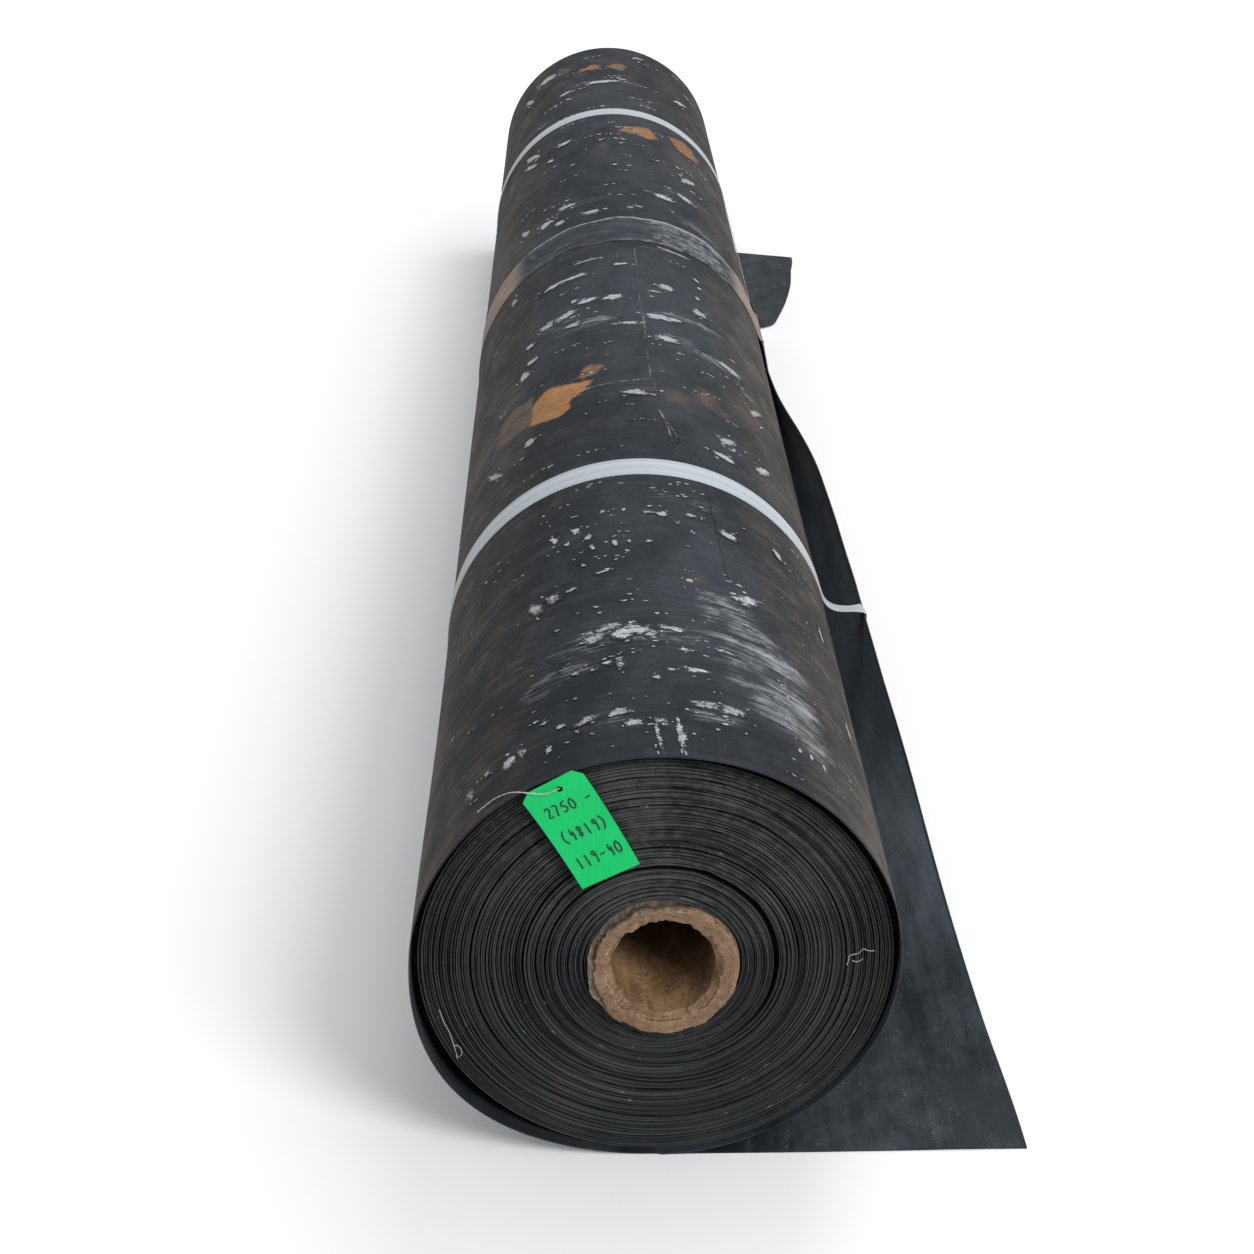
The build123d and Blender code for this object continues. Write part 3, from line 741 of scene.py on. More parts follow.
def tail_finish():
    """The loose end's rubber: mottled, with pale scuffs, and a painted fill light where it faces
    the roll in its shade.
    """
    finish = Finish("Loose End Rubber", specular=0.25)
    between, plus, times, noise = finish.between, finish.plus, finish.times, finish.noise
    cloud = noise((6.0, 3.0, 1), 6, 0.65)
    patchy = noise((26, 18, 1), 6, 0.7)
    grain = noise((240, 240, 1), 3)
    long_scuffs = noise((60, 3.0, 1), 6, 0.7, 0.3)
    scuffs = between(plus(cloud, times(long_scuffs, 0.5), times(patchy, 0.7)), 1.0, 1.22)
    # Painted fill light: a pale, scuffed colour where the raised sheet faces the roll and lies in
    # its shade
    painted_fill_light = finish.mix(scuffs, (0.15, 0.175, 0.205), (0.22, 0.25, 0.285))
    dust = between(plus(cloud, times(patchy, 0.8)), 0.95, 1.25)
    speck = between(plus(grain, times(patchy, 0.4)), 0.86, 0.92)
    colour = finish.coats(
        scaled(colours().rubber, 0.66),
        (times(scuffs, 0.8), (0.04, 0.05, 0.06)),
        # Painted fill light over the shaded, raised part of the sheet
        (finish.field("painted_fill_share"), painted_fill_light),
        (times(dust, 0.09), (0.15, 0.145, 0.135)),
        (times(speck, 0.45), (0.2, 0.21, 0.21)),
    )
    bump = plus(times(patchy, 0.8), times(grain, 0.15))
    return finish.done(colour, bump, 0.0012, between(cloud, 0.3, 0.7, 0.55, 0.78))


def turns_finish():
    """The edges of the wound turns: painted shade in the gaps, grey, dusty edges with pale nicks,
    and painted highlight on the upper turns.
    """
    finish = Finish("Turn Edges", specular=0.3)
    between, plus, times, field = finish.between, finish.plus, finish.times, finish.field
    grain = finish.noise((120, 120, 120), 4, uv=False)
    cloud = finish.noise((9, 9, 9), 3, uv=False)
    stretch = (("lean", 9.0), ("rise", 9.0), ("radius", 900.0))
    place = {axis: times(field(name), by) for axis, (name, by) in enumerate(stretch)}
    inputs = {
        "Vector": finish.add("ShaderNodeCombineXYZ", place).outputs[0], "Scale": 1.0,
        "Detail": 2.0, "Roughness": 0.6,
    }
    nicks = finish.add("ShaderNodeTexNoise", inputs).outputs["Fac"]
    tone = plus(times(field("tone"), 0.75), times(cloud, 0.55), times(grain, 0.45))
    edge = between(field("crest"), 0.2, 1.0)
    # Painted highlight: the turns grow lighter towards the top of the end
    lit = times(between(field("rise"), 0.2, 1.0), between(plus(cloud, grain), 0.8, 1.15), 0.6)
    colour = finish.mix(
        between(tone, 0.5, 1.2), (0.011, 0.0127, 0.0132), (0.048, 0.0545, 0.0545)
    )
    colour = finish.mix(lit, colour, (0.11, 0.118, 0.108))
    nicked = times(between(nicks, 0.7, 0.74), edge, between(grain, 0.42, 0.56), 0.8)
    # Painted shade: near black in the gaps between turns, away from each turn's crest
    colour = finish.coats(
        finish.mix(edge, (0.006, 0.006, 0.0065), colour),
        (times(between(cloud, 0.52, 0.68), edge, 0.22), (0.08, 0.062, 0.046)),
        (nicked, (0.36, 0.36, 0.35)),
    )
    return finish.done(colour, grain, 0.0004, between(tone, 0.5, 1.2, 0.62, 0.85))


def board_finish():
    """Brown board with torn fibres on its face and a greyed outer ply, and painted shade down the
    bore.
    """
    finish = Finish("Core Board", 0.85, 0.2)
    between, times, noise, mix = finish.between, finish.times, finish.noise, finish.mix
    fibres = noise((30, 260, 1), 6, 0.7)
    cloud = noise((30, 22, 1), 6, 0.7, 0.5)
    split = noise((45, 120, 1), 5, 0.75, 1.2)
    spots = noise((140, 200, 1), 3)
    board = tuple(colours().board)
    grey = mix(between(cloud, 0.4, 0.65), (0.085, 0.068, 0.055), (0.2, 0.155, 0.12))
    wall = mix(between(cloud, 0.36, 0.62), (0.13, 0.072, 0.034), (0.3, 0.18, 0.088))
    cracks = finish.cracks(split, 0.011, 0.003, (between(spots, 0.45, 0.55), 0.85))
    colour = finish.coats(
        mix(between(fibres, 0.3, 0.7), scaled(board, 0.72), board),
        (times(between(cloud, 0.5, 0.68), 0.7), (0.33, 0.222, 0.142)),
        (times(between(cloud, 0.46, 0.34), 0.45), (0.12, 0.08, 0.05)),
        (finish.field("grey_ply"), grey),
        (finish.field("wall"), wall),
        # Painted shade and shadow: down the bore, across its upper right, under torn plies and in
        # notches and splits
        (finish.field("deep"), (0.022, 0.014, 0.009)),
        (cracks, (0.025, 0.018, 0.013)),
        (times(finish.field("fray"), between(spots, 0.45, 0.62), 0.7), (0.44, 0.33, 0.23)),
    )
    return finish.done(colour, finish.plus(fibres, cloud, times(cracks, -0.6)), 0.001)


def strap_finish():
    """Pale plastic with faint lengthwise bands, dirtied at the sides of the roll."""
    finish = Finish("Strap Plastic", 0.42, 0.35)
    between, times, noise = finish.between, finish.times, finish.noise
    lines = noise((2.5, 900, 1), 3, 0.6)
    smear = noise((18, 60, 1), 5, 0.7)
    marks = between(noise((120, 300, 1), 4), 0.62, 0.7)
    across = finish.add("ShaderNodeSeparateXYZ", {0: finish.place((1, 1, 1))}).outputs[1]
    strap = tuple(colours().strap)

    def stripe(middle, half, strength):
        away = finish.one("ABSOLUTE", finish.plus(across, -middle))
        return times(between(away, half, 0.4 * half), strength)

    colour = finish.coats(
        finish.mix(between(lines, 0.35, 0.7), scaled(strap, 0.86), strap),
        (stripe(0.009, 0.006, 0.55), scaled(strap, 1.22)),
        (stripe(-0.012, 0.0045, 0.45), scaled(strap, 1.18)),
        (stripe(-0.0005, 0.0011, 0.6), (0.56, 0.52, 0.44)),
        (times(finish.field("grime"), between(smear, 0.3, 0.6, 0.6, 1.0)), (0.4, 0.36, 0.325)),
        (times(marks, 0.3), (0.2, 0.2, 0.2)),
    )
    return finish.done(colour, lines, 0.0005, between(smear, 0.3, 0.7, 0.35, 0.6), 0.5)


def band_finish():
    """Dirty film: beige at the sides, worn through to dark rubber over the top."""
    finish = Finish("Worn Film", 0.7, 0.22)
    between, plus, times, noise = finish.between, finish.plus, finish.times, finish.noise
    streaks = noise((6, 130, 1), 6, 0.74, 0.2)
    cloud = noise((11, 16, 1), 6, 0.65)
    spots = noise((60, 80, 1), 5, 0.7)
    band = tuple(colours().band)
    film = finish.mix(between(streaks, 0.35, 0.65), scaled(band, 0.7), band)
    film = finish.mix(between(cloud, 0.5, 0.72), film, scaled(band, 1.3))
    bare = between(plus(cloud, streaks), 0.88, 1.15)
    bare = finish.mix(bare, scaled(colours().rubber, 0.6), (0.04, 0.048, 0.06))
    worn = plus(times(finish.field("worn"), 1.3), times(cloud, 0.6), times(streaks, 1.5))
    pale = plus(
        finish.field("pale"), times(plus(streaks, -0.5), 3.0), times(plus(spots, -0.5), 3.4)
    )
    brown = times(finish.field("brown"), between(spots, 0.4, 0.6), 0.7)
    colour = finish.coats(
        film,
        (between(worn, 1.35, 1.75), bare),
        (times(between(pale, 0.35, 1.2), 0.75), scaled(colours().paint, 0.62)),
        (brown, (0.17, 0.12, 0.085)),
    )
    return finish.done(colour, plus(streaks, times(cloud, 0.6)), 0.0008)


def paint_finish():
    """Worn white paint: thin and broken where its cover is low."""
    finish = Finish("Spilt Paint", 0.65, 0.2)
    between, plus, times = finish.between, finish.plus, finish.times
    colour, _, _ = rubber_colour(finish)
    broken = finish.noise((60, 130, 1), 6, 0.78)
    flecks = finish.noise((300, 420, 1), 4, 0.65)
    bump = plus(broken, flecks)
    cover = plus(
        finish.field("cover"), times(plus(broken, -0.5), 2.6), times(plus(flecks, -0.5), 1.6)
    )
    bright = tuple(colours().paint)
    white = finish.mix(between(bump, 0.85, 1.2), scaled(bright, 0.5), bright)
    greyed = finish.mix(finish.field("shade"), white, (0.13, 0.12, 0.105))
    return finish.done(finish.mix(between(cover, 0.48, 0.72), colour, greyed), bump, 0.0004)


def tag_finish():
    """Green card with faint fibres and clouds in its dye."""
    finish = Finish("Tag Card", 0.62, 0.25)
    fibres = finish.noise((300, 300, 1), 5, 0.7, uv=False)
    cloud = finish.noise((24, 24, 24), 3, uv=False)
    card = tuple(colours().tag)
    faded = finish.times(finish.between(cloud, 0.5, 0.75), 0.25)
    colour = finish.mix(finish.between(fibres, 0.35, 0.65), scaled(card, 0.88), card)
    return finish.done(finish.mix(faded, colour, (0.012, 0.56, 0.19)), fibres, 0.0002)


def simple_finish(name, colour, roughness, metallic=0.0):
    """A finish with a fine grain in its colour and surface."""
    finish = Finish(name, roughness)
    finish.shader.inputs["Metallic"].default_value = metallic
    grain = finish.noise((400, 400, 400), 3, uv=False)
    return finish.done(finish.mix(grain, scaled(colour, 0.75), tuple(colour)), grain, 0.0002)


# Pieces


def dust_at(angle, along):
    """Give how dusty the roll is at an angle from its top and a place along it."""
    side = settle(np.abs(angle), 22, 64) * (1 - 0.6 * settle(np.abs(angle), 112, 150))
    return 0.06 + 0.9 * side + 0.16 * settle(along, 300, 1500) * (1 - side)


def blurred(arc, along, spots):
    """Spread out soft spots given by angle, place, reach each way and strength."""
    total = np.zeros(arc.shape)
    for turn, place, across, length, strength in spots:
        away = np.hypot((arc - turn * arc_per_degree()) / across, (along - place) / length)
        total = np.maximum(total, strength * (1 - settle(away, 0.25, 1.35)))
    return total


def stained(arc, along):
    """Give how near each point is to the inside of a stain, and how strong that stain is."""
    stain, depth = np.zeros(arc.shape), np.zeros(arc.shape)
    for strength, outline in STAINS:
        spots = [(turn * arc_per_degree(), place) for turn, place in outline]
        value = np.clip(0.5 + inside_outline(arc, along, spots) / 120, 0, 1)
        depth = np.where(value > stain, strength, depth)
        stain = np.maximum(stain, value)
    return stain, depth


def make_roll_skin():
    """The outer lap with its rims, the walls behind them and the bore through the turns."""
    own = sizes()
    radius, half, thick = own.roll_radius, own.roll_length / 2, own.sheet_thickness
    wall_depth, inner = 38.0, own.roll_radius - own.sheet_thickness
    bore, middle = (CORE_OUT, radius - CORE_DOWN), (0.0, radius)

    # Each ring's middle, radius and place, and 0 in the bore, 1 on walls and rims, 2 on the lap
    end = [(inner - 0.2, half - wall_depth)]
    end += [(inner, half - wall_depth * step) for step in (0.66, 0.33, 0.05)]
    for turn in np.radians((0.0, 45.0, 90.0, 135.0, 180.0)):
        size = radius - thick / 2 - thick / 2 * math.cos(turn)
        end.append((size, half - thick / 2 + thick / 2 * math.sin(turn)))
    hole = own.core_radius + 0.15
    rings = [(*bore, hole, along, 0) for along in (half - wall_depth, 0.0, wall_depth - half)]
    rings += [(*middle, size, -along, 1) for size, along in end]
    rings += [(*middle, radius, along, 2) for along in np.linspace(3 - half, half - 3, 296)]
    rings += [(*middle, size, along, 1) for size, along in end[::-1]]
    centre_out, centre_up, ring_size, along, lap = np.array(rings).T[:, :, None]

    turned = np.broadcast_to(np.linspace(-180, 180, 276, endpoint=False), (len(rings), 276))
    turn = np.radians(turned)
    arc = turn * radius
    along, reach = (np.broadcast_to(part, arc.shape).copy() for part in (along, ring_size))
    fuller = 4.6 * np.sin(np.pi * np.clip((-52 - turned) / 126, 0, 1)) ** 1.4
    fuller *= 1 - settle(along, -half, 420 - half)
    reach += np.where(lap > 0, loose_gap(turned, along) + fuller, 0)
    held = held_down(along, ((FRONT_STRAP, 34.0), (REAR_STRAP, 34.0), (BAND, 130.0)), 60)
    ripple = 0.5 + 0.5 * np.clip(waves(arc, along * 0.6, 11, 420) / 1.6, -1, 1)
    dent = 0.5 + 0.5 * np.clip(waves(arc, along * 0.35, 12, 130) / 1.6, -1, 1)
    low = settle(np.abs(turned), 150, 172)
    reach -= np.where(lap > 0, (0.9 * ripple + 0.35 * dent) * (1 - held) * (1 - low), 0)
    ends = settle(-along, half - 60, half) + settle(along, half - 60, half)
    worn_back = (0.9 + 0.9 * np.clip(ripples(arc, 13, 300), -1, 1)) * ends
    along += np.where(lap > 0, np.where(along < 0, 1, -1) * worn_back, 0)
    along -= np.where(lap > 0, 0.6 * fuller * (1 - settle(along, -half, 60 - half)), 0)
    points = np.stack(
        [centre_out + reach * np.sin(turn), along, centre_up + reach * np.cos(turn)], axis=2
    )

    stain, stain_depth = stained(arc, along)
    # Painted shade: the walls behind the rims and the bore darken from 7 mm in, fully by 24 mm,
    # and the top of the lap near the front end darkens a little
    walls = (ring_size < inner + 0.1) & (lap < 2)
    inside = np.where(walls, settle(half - np.abs(along), 7, 24), 0.0)
    shaded = (1 - settle(along, 40 - half, 260 - half)) * (1 - settle(np.abs(turned), 30, 70))
    fields = {
        "stain": stain, "stain_depth": stain_depth, "smudge": blurred(arc, along, SMUDGES),
        "haze": blurred(arc, along, HAZES),
        "dust": dust_at(turned, along) * np.where(lap > 1, 1, 0.15),
        "inside": np.where(lap > 1, 0.16 * shaded, inside),
    }
    skin = closed_shell("roll_skin", points, arc, along, fields, 40)
    return dress(skin, rubber_finish(), "rubber_sheet", "membrane")


def sheet_lift(out, along):
    """Give how far the flat part of the loose end stands off the floor."""
    return np.maximum(waves(out * 0.8, along, 21, 260), 0) * 1.8 * settle(out, 240, 330)


def make_loose_end():
    """The sheet's loose end: flat on the floor, raised along the roll by the straps."""
    own = sizes()
    thick, half = own.sheet_thickness, own.roll_length / 2
    places = np.linspace(-half, half, 300)
    shares = np.concatenate([np.linspace(0, 0.9, 34), np.linspace(0.92, 1, 8)])
    line, side = sheet_section(places, shares)
    trim, bend = np.array(REAR_TRIM), 1380.0
    rear = np.minimum(np.interp(line[:, :, 0], trim[:, 0], trim[:, 1]), half)
    along = np.broadcast_to(places[:, None], rear.shape)
    along = np.where(along > bend, bend + (along - bend) * (rear - bend) / (half - bend), along)

    def rooted(root, values):
        """Put the root that reaches on under the roll before every row."""
        root = np.broadcast_to(root, (len(places), len(ROOT), *np.shape(values)[2:]))
        return np.concatenate([root, values], axis=1)

    out = rooted([spot[0] for spot in ROOT], line[:, :, 0])
    up = rooted([spot[1] for spot in ROOT], line[:, :, 1])
    side, along = rooted([0.0, 1.0], side), rooted(along[:, :1], along)
    along += 0.9 * (1 - settle(out, 25, 160)) * (1 - settle(along, -half, 40 - half))
    lying = 1 - settle(up, 3, 30)
    free = rooted(0.0, np.broadcast_to(shares**2, line.shape[:2]))
    straps = ((FRONT_STRAP, 40.0), (REAR_STRAP, 40.0))
    lift = sheet_lift(out, along) * lying * (1 - held_down(along, straps, 50))
    stand = waves(out * 0 + 1, along, 22, 330) * 1.6 * free * (1 - lying)
    stand *= 1 - held_down(along, (*straps, (BAND, 110.0)), 80)

    layers = []
    for way in (1, -1):
        off = way * thick / 2 + stand
        over, high = out + side[:, :, 0] * off, up + side[:, :, 1] * off + lift
        layers.append(np.stack([over, along, high], axis=2).reshape(-1, 3))
    rows, columns = out.shape
    count = rows * columns
    top = grid_faces(rows, columns)
    border = np.concatenate(
        [
            np.arange(columns),
            np.arange(1, rows) * columns + columns - 1,
            (rows - 1) * columns + np.arange(columns - 2, -1, -1),
            np.arange(rows - 2, 0, -1) * columns,
        ]
    )
    after = np.roll(border, -1)
    edge = np.stack([border, border + count, after + count, after], axis=1)
    points = np.concatenate(layers)
    points[:, 2] = np.maximum(points[:, 2], FLOOR_GAP)
    faces = outward(points, np.concatenate([top, top[:, ::-1] + count, edge]))

    steps = np.hypot(np.diff(out, axis=1), np.diff(up, axis=1))
    run = np.concatenate([np.zeros((rows, 1)), np.cumsum(steps, axis=1)], axis=1)
    # Painted fill light: how much the raised part facing the roll, in its shade, is lightened;
    # none on the free edge, fading out from 600 to 800 mm along
    painted_fill_share = settle(up, 25, 190) * (1 - 0.5 * settle(up, 262, 288))
    painted_fill_share *= (1 - settle(along, 600, 800)) * (1 - settle(free, 0.985, 0.999))
    uvs = corner_uvs(faces, np.stack([run, run]), np.stack([along, along]))
    fields = {"painted_fill_share": np.stack([painted_fill_share, 0 * painted_fill_share])}
    sheet = build("loose_end", points, faces, uvs, fields, 40)
    return dress(sheet, tail_finish(), "rubber_sheet", "membrane")


def make_core():
    """The cardboard core, with its outer plies torn back and its ends frayed."""
    own = sizes()
    half, outer, bore = own.roll_length / 2 - 1.0, own.core_radius, own.bore_radius
    angle = np.linspace(0, 2 * math.pi, 220, endpoint=False)
    arc, sine, cosine = angle * outer, np.sin(angle), np.cos(angle)
    reaches = (40, 16, 70, 24, 9, 12)
    wave = [ripples(arc, 31 + number, reach) for number, reach in enumerate(reaches)]
    grey = settle(np.cos(angle + 0.9), -0.1, 0.75)
    # Painted shadow in the bore: none at the lower left where light falls in, heavy over the upper
    # right half
    dark = 0.75 - 0.75 * settle(np.cos(angle + 2.4), 0.0, 0.5)
    slant = 5.5 * cosine
    rags = 0.35 + 0.65 * settle(np.abs(sine), 0.25, 0.8)
    burst = np.exp(-(((angle - 4.35) / 0.2) ** 2)) + 0.5 * np.exp(-(((angle - 5.0) / 0.25) ** 2))
    notch = np.exp(-(((angle - 0.42) / 0.09) ** 2))
    rows = []
    for way in (-1, 1):
        long, short, wide, middling, fine, small_wave = (
            wave if way < 0 else [np.roll(line, 61) for line in wave]
        )
        face = 0.2 + slant + 0.5 * np.clip(short, -1, 1) + 0.25 * fine
        torn = 6.0 + 3.4 * np.cos(angle - 0.2) + 1.7 * np.clip(long, -1, 1)
        torn = np.maximum(torn + np.clip(fine, -1, 1) + slant, face + 1.0) + 5.0 * notch
        peeled = 3.2 * np.clip(wide, -0.5, 1) + 1.6 * np.clip(small_wave, -0.3, 1)
        peeled = 2.0 + rags * peeled + 0.8 * rags * fine * settle(cosine, -0.6, 0.2)
        peeled = np.maximum(peeled + 0.7 * middling + 4.0 * settle(-cosine, 0.2, 0.95), 0.2)
        crack = settle(wide + 0.5 * middling, 0.1, 0.55) * settle(-cosine, -0.35, 0.3)
        small = outer - 2.3 + 2.2 * burst * (1 + 0.5 * fine)
        ply = small - 2.0 - 5.5 * grey + 1.6 * np.clip(middling, -1, 1) + 0.6 * fine
        ply = np.minimum(ply, small - 0.8)
        inner = np.minimum(np.maximum(bore + 2.4 + peeled, outer - 21.5), ply - 3.0)
        # From the outside to the bore: radius, how far in, and shares of grey ply, bore wall,
        # painted shade and fray
        made = [
            (outer, 60.0, 0, 0, 0, 0), (small, torn + 4.0, grey, 0, 0.8 * notch, 0),
            (small - 0.4, torn - 2.0 * burst, grey, 0, 0.8 * notch, 0.3 + 0.7 * burst),
            ((small + ply) / 2, torn - 1.0 + 0.7 * fine, grey, 0, 0.15 + 0.7 * notch, 0.2),
            (ply + 0.5, torn - 0.8, 0.8 * grey, 0, 0.6 * grey, 0.1),
            (ply, face + 0.8, 0.2 * grey, 0, 0, 1), (ply - 0.7, face, 0, 0, 0, 0.5),
            ((2 * ply + inner) / 3, face - 0.4 + 0.2 * fine, 0, 0, 0, 0),
            ((ply + inner) / 2, face - 0.1 + 0.2 * small_wave, 0, 0, 0, 0),
            ((ply + 2 * inner) / 3, face - 0.2 + 0.3 * short, 0, 0, 0, 0),
            (inner, face + 0.25 * fine, 0, 0, 0, 0.2),
            (bore + 1.0 + peeled, face + 0.6, 0, 0, 0, 0.9),
            (bore + 0.2 + peeled, face + 1.9, 0, 0.4, 0.1 + 0.75 * crack, 1 - crack),
            (bore + 0.2 + 0.92 * peeled, face + 2.5, 0, 0.5, 0.1, 0.8 - 0.3 * crack),
            (bore + 0.1 + 0.6 * peeled, face + 4.4 + 1.2 * long, 0.1, 0.7, 0.2, 0.1),
            (bore + 0.3, face + 7.0 + 2.0 * long, 0.1, 1, 0.05, 0.4),
            (bore + 0.2, face + 20.0 + 3.0 * middling, 0, 1, 0.3 * dark, 0),
            (bore + 0.2, 50.0, 0, 1, 0.7 * dark, 0), (bore, 120.0, 0, 1, 0.35 + 0.65 * dark, 0),
            (bore, 300.0, 0, 1, 0.9, 0), (bore, 700.0, 0, 1, 1, 0),
        ]
        for size, inset, *shares in made if way < 0 else made[::-1]:
            row = (size, way * (half - np.asarray(inset)), *shares)
            rows.append([np.broadcast_to(value, angle.shape) for value in row])
    size, along, grey, wall, deep, fray = np.array(rows).transpose(1, 0, 2)
    middle_up = own.roll_radius - CORE_DOWN - 2.0 * settle(-along, half - 60, half)
    points = np.stack([CORE_OUT + size * sine, along, middle_up + size * cosine], axis=2)
    fields = {"grey_ply": grey, "wall": wall, "deep": deep, "fray": fray}
    across = np.broadcast_to(arc, size.shape)
    core = closed_shell("core_board", points, across, size + along, fields, 50)
    return dress(core, board_finish(), "core_board", "core_tube")


def wrapped_line(place, gap, floor_level, leave_angle, drop, run):
    """Give a closed line round the roll that hangs over the edge of the loose end."""
    own = sizes()
    radius, reach = own.roll_radius, own.sheet_thickness / 2 + gap
    out, up, _, edge_slope = (value[0] for value in edge_at(np.array([place])))
    way = np.array([math.cos(math.radians(edge_slope)), math.sin(math.radians(edge_slope))])
    side, edge = np.array([-way[1], way[0]]), np.array([out, up])
    turns = np.radians(np.linspace(270, leave_angle, 260))
    wrap = np.stack(
        [(radius + gap) * np.cos(turns), radius + (radius + gap) * np.sin(turns)], axis=1
    )
    leave = math.radians(leave_angle)
    leave_way = np.array([math.sin(leave), -math.cos(leave)])
    tip = edge + way * reach
    share = np.linspace(0, 1, 40)[1:, None]
    hang = eased(wrap[-1], wrap[-1] + leave_way * drop, tip + side * run, tip, share)
    bends = np.linspace(0, math.pi / 2, 7)[1:-1]
    corner = np.array([edge + (way * math.cos(b) - side * math.sin(b)) * reach for b in bends])
    under = sheet_section([place], np.linspace(1, 0, 120), -reach)[0][0]
    line = np.concatenate([wrap, hang, corner, under])
    line[:, 1] = np.maximum(line[:, 1], floor_level)
    return line


def taut_line(place, gap, floor_level):
    """Give a closed line drawn tight round the roll and the low edge of the loose end."""
    own = sizes()
    radius, half_sheet = own.roll_radius, own.sheet_thickness / 2
    out, up = (value[0] for value in edge_at(np.array([place]))[:2])
    turns = np.radians(np.linspace(0, 360, 720, endpoint=False))
    ring = np.stack([np.cos(turns), np.sin(turns)], axis=1)
    spots = np.concatenate(
        [ring * (radius + gap) + [0, radius], ring * (half_sheet + gap) + [out, up]]
    )
    line = spots[convex_hull_2d([tuple(spot) for spot in spots])][::-1]
    line[:, 1] = np.maximum(line[:, 1], floor_level)
    return np.roll(line, -np.argmin(np.abs(line[:, 0]) + line[:, 1]), axis=0)


def even_line(line, step=5.0):
    """Space the points of a closed line evenly, and give how far round it each is."""
    closed = np.concatenate([line, line[:1]])
    runs = np.linalg.norm(np.diff(closed, axis=0), axis=1)
    keep = np.concatenate([[True], runs > 1e-6])
    closed, runs = closed[keep], runs[keep[1:]]
    travelled = np.concatenate([[0], np.cumsum(runs)])
    places = np.linspace(0, travelled[-1], int(travelled[-1] / step), endpoint=False)
    return np.stack([np.interp(places, travelled, closed[:, k]) for k in (0, 1)], axis=1), places


def angle_round(line):
    """Give the angle of a line's points from the top of the roll, in degrees."""
    return np.degrees(np.arctan2(line[:, 0], line[:, 1] - sizes().roll_radius))


def ribbon(name, line, travelled, front, rear, section, thick, tilt=0.0, fields=None):
    """Run a thin closed section along a closed line, between its front and rear edges."""
    way = np.roll(line, -1, axis=0) - np.roll(line, 1, axis=0)
    way /= np.linalg.norm(way, axis=1, keepdims=True)
    side = np.stack([-way[:, 1], way[:, 0]], axis=1)
    if np.mean(np.einsum("ij,ij->i", side, line - line.mean(axis=0))) < 0:
        side = -side
    shares, lifts = np.array(section).T
    share = np.concatenate([shares, shares[::-1]])
    lift = np.concatenate([lifts * thick / 2, np.full(len(shares), -thick / 2)])
    front, rear, tilt = (np.broadcast_to(part, len(line))[:, None] for part in (front, rear, tilt))
    wide = share * (rear - front) / 2
    raised = lift + tilt * wide
    points = np.stack(
        [
            line[:, :1] + side[:, :1] * raised,
            (front + rear) / 2 + wide,
            line[:, 1:] + side[:, 1:] * raised,
        ],
        axis=2,
    )
    run = np.broadcast_to(travelled[:, None], wide.shape)
    fields = {key: np.broadcast_to(value, wide.shape) for key, value in fields.items()}
    return closed_shell(name, points, run, wide, fields, 50)


def make_straps():
    """The two plastic straps: round the roll and over the loose end's edge."""
    own = sizes()
    thick = own.strap_thickness
    gap, floor_level, leave = 0.3 + thick / 2, 0.1 + thick / 2, 16.5
    hung = wrapped_line(FRONT_STRAP, gap, floor_level, leave, 34.0, 26.0)
    taut = taut_line(REAR_STRAP, gap, floor_level)
    lines = {"strap_front": (FRONT_STRAP, 41, hung), "strap_rear": (REAR_STRAP, 42, taut)}
    # Two shallow hollows along the strap: shares of the half width, and of half the thickness
    section = [
        (-1.0, 0.0), (-0.985, 0.6), (-0.9, 1.0), (-0.5, 0.8), (0.0, 1.0), (0.5, 0.8), (0.9, 1.0),
        (0.985, 0.6), (1.0, 0.0),
    ]
    for name, (place, seed, line) in lines.items():
        line, travelled = even_line(line)
        grime = settle(np.abs(angle_round(line)), 48, 78) * 0.9
        bow = 1.6 * ripples(travelled, seed, 700)
        twist = pinch = 0.0
        if name == "strap_front":
            # Past the roll the strap hangs free, narrows and twists until it meets the sheet
            past = travelled - math.radians(270 - leave) * (own.roll_radius + gap)
            free = settle(past, -12, 14) * (1 - settle(past, 80, 200))
            twist = settle(past, 2, 40) * (1 - 0.6 * settle(past, 50, 70))
            twist *= 1 - settle(past, 72, 110)
            pinch = 0.18 * free + 0.2 * settle(past, 35, 62) * free
            grime = np.maximum(grime * (1 - free), 0.25 * free)
        half_width = own.strap_width / 2 * (1 - pinch)
        shape = ribbon(
            name + "_ribbon", line, travelled, place - half_width + bow, place + half_width + bow,
            section, thick, -0.27 * twist, {"grime": grime[:, None]},
        )
        dress(shape, strap_finish(), "strap_plastic", name)


